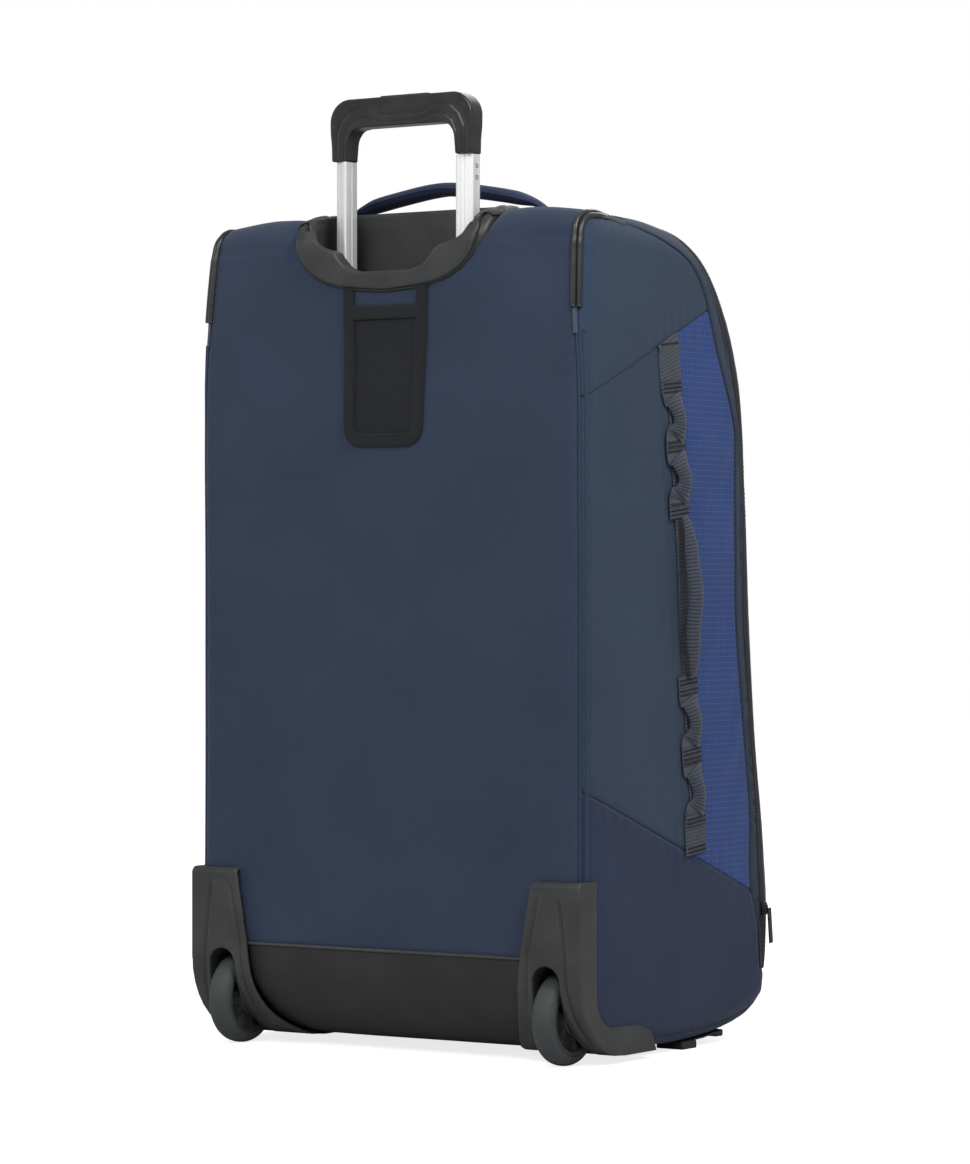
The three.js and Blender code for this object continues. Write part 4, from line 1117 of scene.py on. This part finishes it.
# ---------------------------------------------------------------- tapes, webbing and piping
def ribbon(name, path, normal, width, thick, finish, body, curl=0.0, cols=9, skew=0.0, **extra):
    """A tape along a path: its cross-section is an arc of half-angle curl, slanted by skew."""
    path, normal = np.asarray(path, float), np.asarray(normal, float)
    n = len(path)
    normal = np.broadcast_to(normal, path.shape)
    width = np.broadcast_to(width, n).astype(float)
    curl = np.maximum(np.broadcast_to(curl, n).astype(float), 1e-3)
    tangent = unit(np.gradient(path, axis=0))
    side = unit(np.cross(tangent, normal))
    up = np.cross(side, tangent)
    w = np.linspace(-1, 1, cols)
    radius = width / 2 / curl
    ang = w[None] * curl[:, None]
    loops = []
    for lift, order in ((thick / 2, 1), (-thick / 2, -1)):
        pinch = lift * (1 - 0.55 * np.abs(w) ** 8)
        r = radius[:, None] + pinch[None]
        ring = path[:, None] + side[:, None] * (r * np.sin(ang))[..., None]
        ring = ring + up[:, None] * (r * np.cos(ang) - radius[:, None])[..., None]
        slant = np.broadcast_to(skew, n)[:, None] * w[None] * width[:, None] / 2
        ring = ring + tangent[:, None] * slant[..., None]
        loops.append(ring[:, ::order])
    points = np.concatenate(loops, 1)
    faces = [f[::-1] for f in grid_faces(n, 2 * cols, closed_cols=True, caps=True)]
    across = np.concatenate([w, w[::-1]])[None] * width[:, None] / 2
    uv = pairs(across, lengths(path)[:, None]).reshape(-1, 2) * MM
    obj = make(name, points.reshape(-1, 3), faces, finish, body, uv, **extra)
    obj.data.set_sharp_from_angle(angle=math.radians(60))
    return obj


def strap_path(u, lift, side):
    """Points and normals of the side strap's line, lift above the bag's side."""
    u = np.asarray(u, float)
    yz = STRAP_LOW + u[:, None] * STRAP_U
    here = on_side(yz[:, 0], yz[:, 1], side, 0.0)
    here[:, 0] += side * np.asarray(lift)
    return here, np.tile([float(side), 0, 0], (len(u), 1))


# Places up the strap: each loop with its rise, narrowing and shift; the sewn tacks; the grab handle.
LOOPS = (
    (40, 84, 7.2, 12.0, 4.4),
    (106, 150, 8.6, 13.0, 3.6),
    (340, 382, 9.8, 12.0, 4.6),
    (398, 438, 8.0, 12.5, 4.0),
)
TACKS = (31, 35, 88, 92, 97, 101, 154, 158, 164, 168, 326, 330, 335, 386, 390, 394, 442, 446, 450)
HANDLE_SPAN = (170, 324)


def side_strap(side, pair):
    """Daisy chain of webbing: a flat base, a folded tape sewn down into loops, and a grab handle."""
    body = "bag"
    seam = unit(UPPER_FRONT - UPPER_BACK)
    slant = float(seam @ STRAP_U / (seam @ STRAP_ACROSS))
    end = float((UPPER_MID - STRAP_LOW) @ STRAP_U) + 1.5
    u = np.linspace(0, end, 240)
    path, normal = strap_path(u, 1.2 - 1.6 * ease(u, end - 6, end), side)
    inside_loops = ease(u, 34, 48) * ease(446 - u, 0, 14)
    path[:, 1:] -= 4.0 * inside_loops[:, None] * STRAP_ACROSS
    ribbon(f"strap_base_{pair}", path, normal, 38 - 15 * inside_loops, 1.3, "webbing_grey", body,
           skew=slant * side * ease(u, end - 70, end), replaces=[f"side_webbing_{pair}"])
    for k, (low, high) in enumerate(((28, 172), (322, 452))):
        u = np.linspace(low, high, 150)
        lift, width, curl = np.full_like(u, 2.5), np.full_like(u, 35.0), np.full_like(u, 0.04)
        shift = np.zeros_like(u)
        for a, b, stand, narrow, aside in LOOPS:
            t = np.clip((u - a) / (b - a), 0, 1)
            rise = np.sin(math.pi * t) ** 0.6
            lift += stand * rise
            width -= narrow * rise
            curl += 1.15 * rise
            shift += aside * rise + 1.1 * np.sin(2 * math.pi * t)
        path, normal = strap_path(u, lift, side)
        path[:, 1:] -= shift[:, None] * STRAP_ACROSS
        path[:, 1:] += 1.6 * (np.sin(u / 2.9) * shift / 6)[:, None] * STRAP_U * 0.5
        ribbon(f"strap_loops_{pair}_{k}", path, normal, width, 1.5, "webbing_grey", body, curl, 13)
    u = np.linspace(*HANDLE_SPAN, 120)
    t = (u - u[0]) / (u[-1] - u[0])
    rise = np.sin(math.pi * t) ** 0.62
    path, normal = strap_path(u, 6.5 + 14.0 * rise + 0.8 * np.sin(5 * math.pi * t) * rise, side)
    path[:, 1] += 1.4 * np.sin(math.pi * 2 * t)
    open_ = ease(rise, 0.1, 0.9)
    ribbon(f"grab_handle_{pair}", path, normal, 10 + 15 * open_, 2.2, "webbing_grey",
           f"side_handle_{pair}", 0.25 + 1.2 * open_, 15, replaces=[f"side_handle_{pair}"])
    rows = []
    across = np.array([0.0, *STRAP_ACROSS])
    for places, lift, half in ((TACKS, 3.3, 16), ((3, 7, STRAP_LEN - 3), 2.0, 17)):
        for u0 in places:
            mid, up = strap_path(np.array([u0]), lift, side)
            rows.append((np.vstack([mid - across * half, mid, mid + across * half]), np.repeat(up, 3, 0)))
    stitches(f"strap_tacks_{pair}", rows, body, 3.4, 0.15, 0.85, "binding")


def corner_beads(side, pair):
    """Twin rubber piping over the top back corner, the strip it ends in, and the welt below."""
    s = np.linspace(on_back(700), at_profile(104, 792), 100)
    up = normal_at(s, side * corner_a(s))
    thin = 2.7 - 1.5 * ease(s, s[-1] - 26, s[-1])
    for k, shift in enumerate((-2.7, 2.7)):
        path = surface(s, side * (corner_a(s) + shift * thin / 2.7), 1.4 * thin / 2.7)
        tube(f"corner_bead_{pair}_{k}", path, thin, "plastic_gloss", "bag", 12, normal=up,
             replaces=[f"corner_piping_{pair}"] if k == 0 else ())
    tail = np.linspace(at_profile(128, 791), S_TOP, 30)
    path = surface(tail, side * corner_a(tail), 1.9 - 1.4 * ease(tail, tail[0], tail[-1]))
    width = 12 - 4 * ease(tail, tail[0], tail[-1])
    up = normal_at(tail, side * corner_a(tail))
    ribbon(f"corner_tape_{pair}", path, up, width, 2.0, "webbing_grey", "bag", 0.5)
    strip = np.linspace(on_back(676), on_back(702), 16)
    up = normal_at(strip, side * corner_a(strip))
    path = surface(strip, side * (corner_a(strip) - 1.2), 0.9)
    ribbon(f"corner_strip_{pair}", path, up, 4.6, 1.8, "thread", "bag", 0.4)
    low = np.linspace(on_back(168), on_back(678), 220)
    welt = surface(low, side * corner_a(low), -0.5)
    tube(f"back_welt_{pair}", welt, 1.2, "fabric_side", "bag", 8)
    allowance = surface(low, side * (corner_a(low) + 6.5), -0.45)
    tube(f"seam_allowance_{pair}", allowance, 1.9, "fabric_side", "bag", 10)


def id_pocket():
    """Label pocket: mesh window in a U of binding that hangs from the bezel, and a band across."""
    right = smooth_line([(42.2, 732), (42, 716), (41, 660), (39.5, 600)], 5)
    curve = arc(39.4 - 13, 595, 13, 0, -90, 10)
    line = np.vstack([right, curve[1:], [(20, 582), (0, 582)]])
    line = resample(np.vstack([line, (line * (-1, 1))[::-1][1:]]), 150)

    def skin(x, z, out):
        s = np.array([on_back(k) for k in z])
        return np.stack([x, surface(s, x, out)[:, 1], z], 1)

    ribbon("label_binding", skin(line[:, 0], line[:, 1], 1.6), (0, 1, 0), 12.5, 2.4, "binding", "bag",
           replaces=["id_pocket"])
    x = np.linspace(-41, 41, 30)
    ribbon("label_band", skin(x, np.full(30, 703.0), 1.9), (0, 1, 0), 13, 2.4, "binding", "bag")
    z = np.linspace(582, 701, 40)
    u = np.linspace(-1, 1, 26)
    half = np.interp(z, [582, 586, 592, 600, 701], [28, 34, 38, 39, 41])
    grid = np.array([skin(u * h, np.full(26, k), 0.7) for k, h in zip(z, half)])
    uv = pairs(u[None] * 42, z[:, None])
    Panel("label_window", grid, "mesh_black", "bag", uv, seams="", thick=0.5, lining="mesh_black")
    rows = []
    for inset in (-4.6, 4.6):
        run = np.gradient(line, axis=0)
        moved = line + unit(np.stack([run[:, 1], -run[:, 0]], 1)) * inset
        rows.append((skin(moved[:, 0], moved[:, 1], 2.75), np.tile([0.0, 1, 0], (len(line), 1))))
    stitches("label_stitches", rows, "bag", 2.4, 1.1, 0.3, "binding")


# ---------------------------------------------------------------- top handle
def puff(obj, held, pressure, cap, frames=20):
    """Blow cloth out from inside; points in held (0-1) keep still, the others move cap at most."""
    group = obj.vertex_groups.new(name="held")
    for k, weight in enumerate(held):
        group.add([k], float(weight), "REPLACE")
    start = np.array([v.co for v in obj.data.vertices])
    settings = modify(obj, "CLOTH").settings
    settings.quality, settings.mass, settings.air_damping = 6, 0.3, 2.0
    settings.tension_stiffness = settings.compression_stiffness = 12
    settings.shear_stiffness, settings.bending_stiffness = 6, 0.8
    settings.vertex_group_mass, settings.pin_stiffness = "held", 1.0
    settings.use_pressure, settings.uniform_pressure_force = True, pressure
    settings.effector_weights.gravity = 0
    obj.modifiers[0].point_cache.frame_end = frames
    scene = bpy.context.scene
    for frame_number in range(1, frames + 1):
        scene.frame_set(frame_number)
    shown = obj.evaluated_get(bpy.context.evaluated_depsgraph_get())
    end = np.array([v.co for v in shown.data.vertices])
    obj.modifiers.clear()
    scene.frame_set(1)
    move = end - start
    far = np.linalg.norm(move, axis=1)
    move *= np.minimum(1, cap * MM / np.maximum(far, 1e-9))[:, None]
    obj.data.vertices.foreach_set("co", (start + move).ravel().astype(np.float32))
    obj.data.update()
    print(obj.name, "cloth moved up to", round(float(far.max()) / MM, 2), "mm")


def top_handle():
    """Padded carry handle: a flat sewn end each side, swelling to a soft round middle."""
    half, foot, rise, y, sides = 118, 802, 826.8, 70.0, 22
    keys = [(-half, foot - 3), (-106, foot + 5), (-86, foot + 11.5), (-50, rise - 6), (0, rise)]
    keys += [(-x, z) for x, z in keys[-2::-1]]
    line = smooth_line(keys, 4.5)
    path = np.stack([line[:, 0], np.full(len(line), y), line[:, 1]], 1)
    tangent = unit(np.gradient(path, axis=0))
    up = np.cross(np.array([0.0, 1, 0]), tangent) * -1
    up *= np.sign(up[len(up) // 2, 2])
    a = np.linspace(0, 2 * math.pi, sides, endpoint=False)
    end = np.minimum(lengths(path), lengths(path)[-1] - lengths(path))
    wide = 5.5 + 9.0 * ease(end, 4, 52)
    tall = 2.6 + 3.9 * ease(end, 6, 44)
    cy = np.sign(np.cos(a)) * np.abs(np.cos(a)) ** 0.75
    cz = np.sign(np.sin(a)) * np.abs(np.sin(a)) ** 0.9
    ring = wide[:, None, None] * cy[None, :, None] * np.array([0, 1.0, 0]) + (
        tall[:, None] * cz[None])[..., None] * up[:, None]
    points = path[:, None] + ring
    faces = grid_faces(len(path), sides, closed_cols=True, caps=True)
    uv = pairs(a[None] * 8, lengths(path)[:, None]).reshape(-1, 2) * MM
    pad = make("top_handle_pad", points.reshape(-1, 3), faces, "fabric_blue_plain", "top_handle", uv,
               replaces=["top_handle"])
    fix_normals(pad)
    edge = np.abs(np.cos(a)) > 0.97
    held = np.maximum(edge[None], (end < 14)[:, None]).astype(float).ravel()
    puff(pad, held, 4.0, 2.0)
    modify(pad, "SUBSURF", levels=1, render_levels=1)
    apply_modifiers(pad)
    for k, way in enumerate((-1, 1)):
        rim = path + np.array([0, 1.0, 0]) * (way * (wide - 0.4))[:, None]
        tube(f"top_handle_edge_{k}", rim, 1.15, "fabric_navy", "top_handle", 8, normal=up)
    for way, pair in SIDES:
        x = np.linspace(half - 4, half + 12, 14) * way
        z = surface(np.full(14, at_profile(y, 791.5)), x, 1.6)[:, 2]
        z = z + np.linspace(6, 0, 14) * 0.5
        ribbon(f"top_handle_anchor_{pair}", np.stack([x, np.full(14, y), z], 1), (0, 0, 1), 24, 2.4,
               "binding", "bag")


def fix_normals(obj):
    bm = bmesh.new()
    bm.from_mesh(obj.data)
    bmesh.ops.recalc_face_normals(bm, faces=bm.faces)
    bm.to_mesh(obj.data)
    bm.free()


# ---------------------------------------------------------------- zips
def teeth(name, path, normal, body, pitch=1.7, wide=4.4, replaces=()):
    """A closed coil: one small rounded tooth every pitch along the path."""
    total = lengths(path)
    tangent = np.gradient(path, axis=0)
    points, faces = [], []
    for k, at in enumerate(np.arange(1, total[-1] - 1, pitch)):
        here = pick(at, total, path)
        run = unit(pick(at, total, tangent))
        side = unit(np.cross(run, pick(at, total, normal)))
        up = np.cross(side, run)
        here = here + side * (0.35 if k % 2 else -0.35)
        base = len(points)
        for w, h in ((-1, -0.9), (-0.75, 0.8), (0.75, 0.8), (1, -0.9)):
            for d in (-0.55, 0.55):
                points.append(here + side * w * wide / 2 + up * h + run * d)
        faces += [(base + i, base + i + 1, base + i + 3, base + i + 2) for i in (0, 2, 4)]
        faces += [(base + 6, base + 7, base + 1, base), (base, base + 2, base + 4, base + 6)]
        faces += [(base + 7, base + 5, base + 3, base + 1)]
    fix_normals(make(name, points, faces, "rubber_black", body, smooth=False, replaces=replaces))


def zip_along(name, path, normal, body_a, body_b, replaces=(), tape=8.0):
    """A zip: two tapes, each on its own body, and the coil between them."""
    side = unit(np.cross(unit(np.gradient(path, axis=0)), normal))
    for way, body, tag in ((1, body_a, "a"), (-1, body_b, "b")):
        middle = path + side * way * tape / 2 + normal * 0.7
        ribbon(f"{name}_tape_{tag}", middle, normal, tape - 0.6, 0.9, "binding", body)
    teeth(f"{name}_coil", path + normal * 1.5, normal, body_a, replaces=replaces)


def main_zip():
    path, normal = band.line("V", 0.0, 0.0)
    steps = int(lengths(path)[-1] / 3)
    joined = resample(np.hstack([path, normal]), steps)
    zip_along("main_zip", joined[:, :3], joined[:, 3:], "bag", "lid", ["main_zip"])


POCKET_HALF = 168
MESH_HALF = 149


def front_pocket():
    """The blue pocket on the lid, its zip above it and the piping round it."""
    half = POCKET_HALF
    s = np.linspace(at_profile(-149, 580), at_profile(-193, 108), 150)
    a = np.linspace(-half, half, 105)
    rim = np.minimum(ease(half - np.abs(a)[None], 0, 16), ease(s - s[0], 0, 16)[:, None])
    rim = np.minimum(rim, ease(s[-1] - s, 0, 16)[:, None])
    grid = surface(s[:, None], a[None], 1.4 + 4.0 * rim)
    uv = pairs(a[None], s[:, None])
    Panel("front_pocket_face", grid, "fabric_blue", "lid", uv, thick=1.2, replaces=["front_pocket"])
    place = at_profile(-147.5, 596), np.linspace(-165, 165, 120)
    zip_along("pocket_zip", surface(*place, 1.2), normal_at(*place), "lid", "lid", tape=7.0)
    outline_s = np.concatenate([np.full(60, s[0]), s, np.full(60, s[-1]), s[::-1]])
    over = np.linspace(-half, half, 60)
    outline_a = np.concatenate([over, np.full(150, half), over[::-1], np.full(150, -half)])
    edge = resample(surface(outline_s, outline_a, 1.9), 420)
    tube("front_pocket_piping", edge, 1.6, "binding", "lid", 8, normal=(0, -1, 0.1))


# ---------------------------------------------------------------- inside the bag
def inside():
    """The sleeve over the handle's tubes, the luggage straps with their clip, and the lid's mesh."""
    line = [(-134, 165), (-128, 160), (-104, 124), (-92, 121), (0, 120), (92, 121), (104, 124)]
    line = smooth_line([*line, (128, 160), (134, 165)], 5)
    low, high = 128, 700
    heights = np.linspace(low, high, 110)
    bows = 0.9 - 0.8 * np.sin(math.pi * (heights - low) / (high - low))
    grid = np.array([[(x, y + bow, k) for x, y in line] for k, bow in zip(heights, bows)])
    Panel("trolley_sleeve", grid, "lining_grey", "bag", seams="uU", pucker=0.15, thick=0.9,
          replaces=["trolley_cover"])
    keys = [(19.8, 117.0), (60, 116.4), (93, 116.6), (107, 122), (134, 156.8), (170, 157.6), (213.2, 157.2)]
    for side, pair in SIDES:
        path = smooth_line(keys, 4)
        sag = 2.0 * np.sin(np.linspace(0, math.pi, len(path)))
        path = np.stack([path[:, 0] * side, path[:, 1], 412.5 - sag], 1)
        ribbon(f"luggage_strap_{pair}", path, (0, -1, 0), 25, 1.5, "webbing_grey", "bag",
               replaces=[f"inner_strap_{pair}"])
    rounded("strap_clip", "strap_buckle", "plastic_black", 0.8, 4)
    s = np.linspace(at_profile(-148, 578), at_profile(-176, 228), 100)
    a = np.linspace(-MESH_HALF, MESH_HALF, 80)
    grid = surface(s[:, None], a[None], -9.5)
    uv = pairs(a[None], s[:, None])
    Panel("lid_mesh", grid, "mesh_black", "lid", uv, seams="", thick=0.6, lining="mesh_black",
          replaces=["lid_mesh_pocket"])
    top = surface(np.full(70, s[0]), np.linspace(-MESH_HALF, MESH_HALF, 70), -9.6)
    ribbon("lid_mesh_hem", top, (0, 1, 0), 14, 1.4, "binding", "lid")


grip()
grip_button()
bezel()
kick_plate()
id_pocket()
top_handle()
main_zip()
front_pocket()
inside()
for side, pair in SIDES:
    trolley_tube(side, pair)
    rounded(f"housing_{pair}", f"wheel_housing_{pair}", "plastic_black", 1.25, 6, housing_grooves)
    wheel(side, pair)
    side_strap(side, pair)
    corner_beads(side, pair)
    rounded(f"skid_{pair}", f"foot_{pair}", "rubber_black", 1.2, 5)
    rounded(f"slider_{pair}", f"zip_slider_{pair}", "zinc", 0.45, 3)
    rounded(f"pull_{pair}", f"zip_pull_{pair}", "zinc", 0.45, 3)
rounded("pocket_slider_body", "pocket_slider", "zinc", 0.45, 3)
rounded("pocket_pull_tab", "pocket_pull", "zinc", 0.45, 3)


def seam_stitches():
    rows = [band.line("v", 3.0), band.line("v", 6.4), band.line("V", 9.0)]
    stitches("band_stitches", rows, "bag")
    stitches("lid_stitches", [lid.line("v", 9.0), lid.line("V", 9.0), lid.line("u", 9.0)], "lid")
    for side, pair in SIDES:
        zones = sides[side]
        rows = [zones["top"].line("u", 2.8), zones["top"].line("V", 3.0), zones["low"].line("U", 2.8)]
        rows += [zones["blue"].line("V", 3.0), zones["mid"].line("V", 20.5)]
        stitches(f"side_stitches_{pair}", rows, "bag")


seam_stitches()


# ---------------------------------------------------------------- floor and finish
def floor():
    mesh = bpy.data.meshes.new("floor")
    mesh.from_pydata([(-9, -9, 0), (9, -9, 0), (9, 9, 0), (-9, 9, 0)], [], [(0, 1, 2, 3)])
    obj = placed("floor", mesh)
    f = Finish("floor", Base_Color=(0.62, 0.62, 0.62, 1), Roughness=0.8)
    f.put(f.shader, "Emission Color", (1, 1, 1, 1))
    seen = f.add("LightPath").outputs["Is Camera Ray"]
    f.put(f.shader, "Emission Strength", f.math("MULTIPLY", seen, 0.79))
    mesh.materials.append(f.material)


floor()
for name, node in NODES.items():
    slot_name = node.data.materials[0].name.split(".")[0] if node.data.materials else ""
    if not node.hide_render:
        finish = next((k for k in M if slot_name.startswith(k)), "plastic_black")
        node.data.materials.clear()
        node.data.materials.append(M[finish])
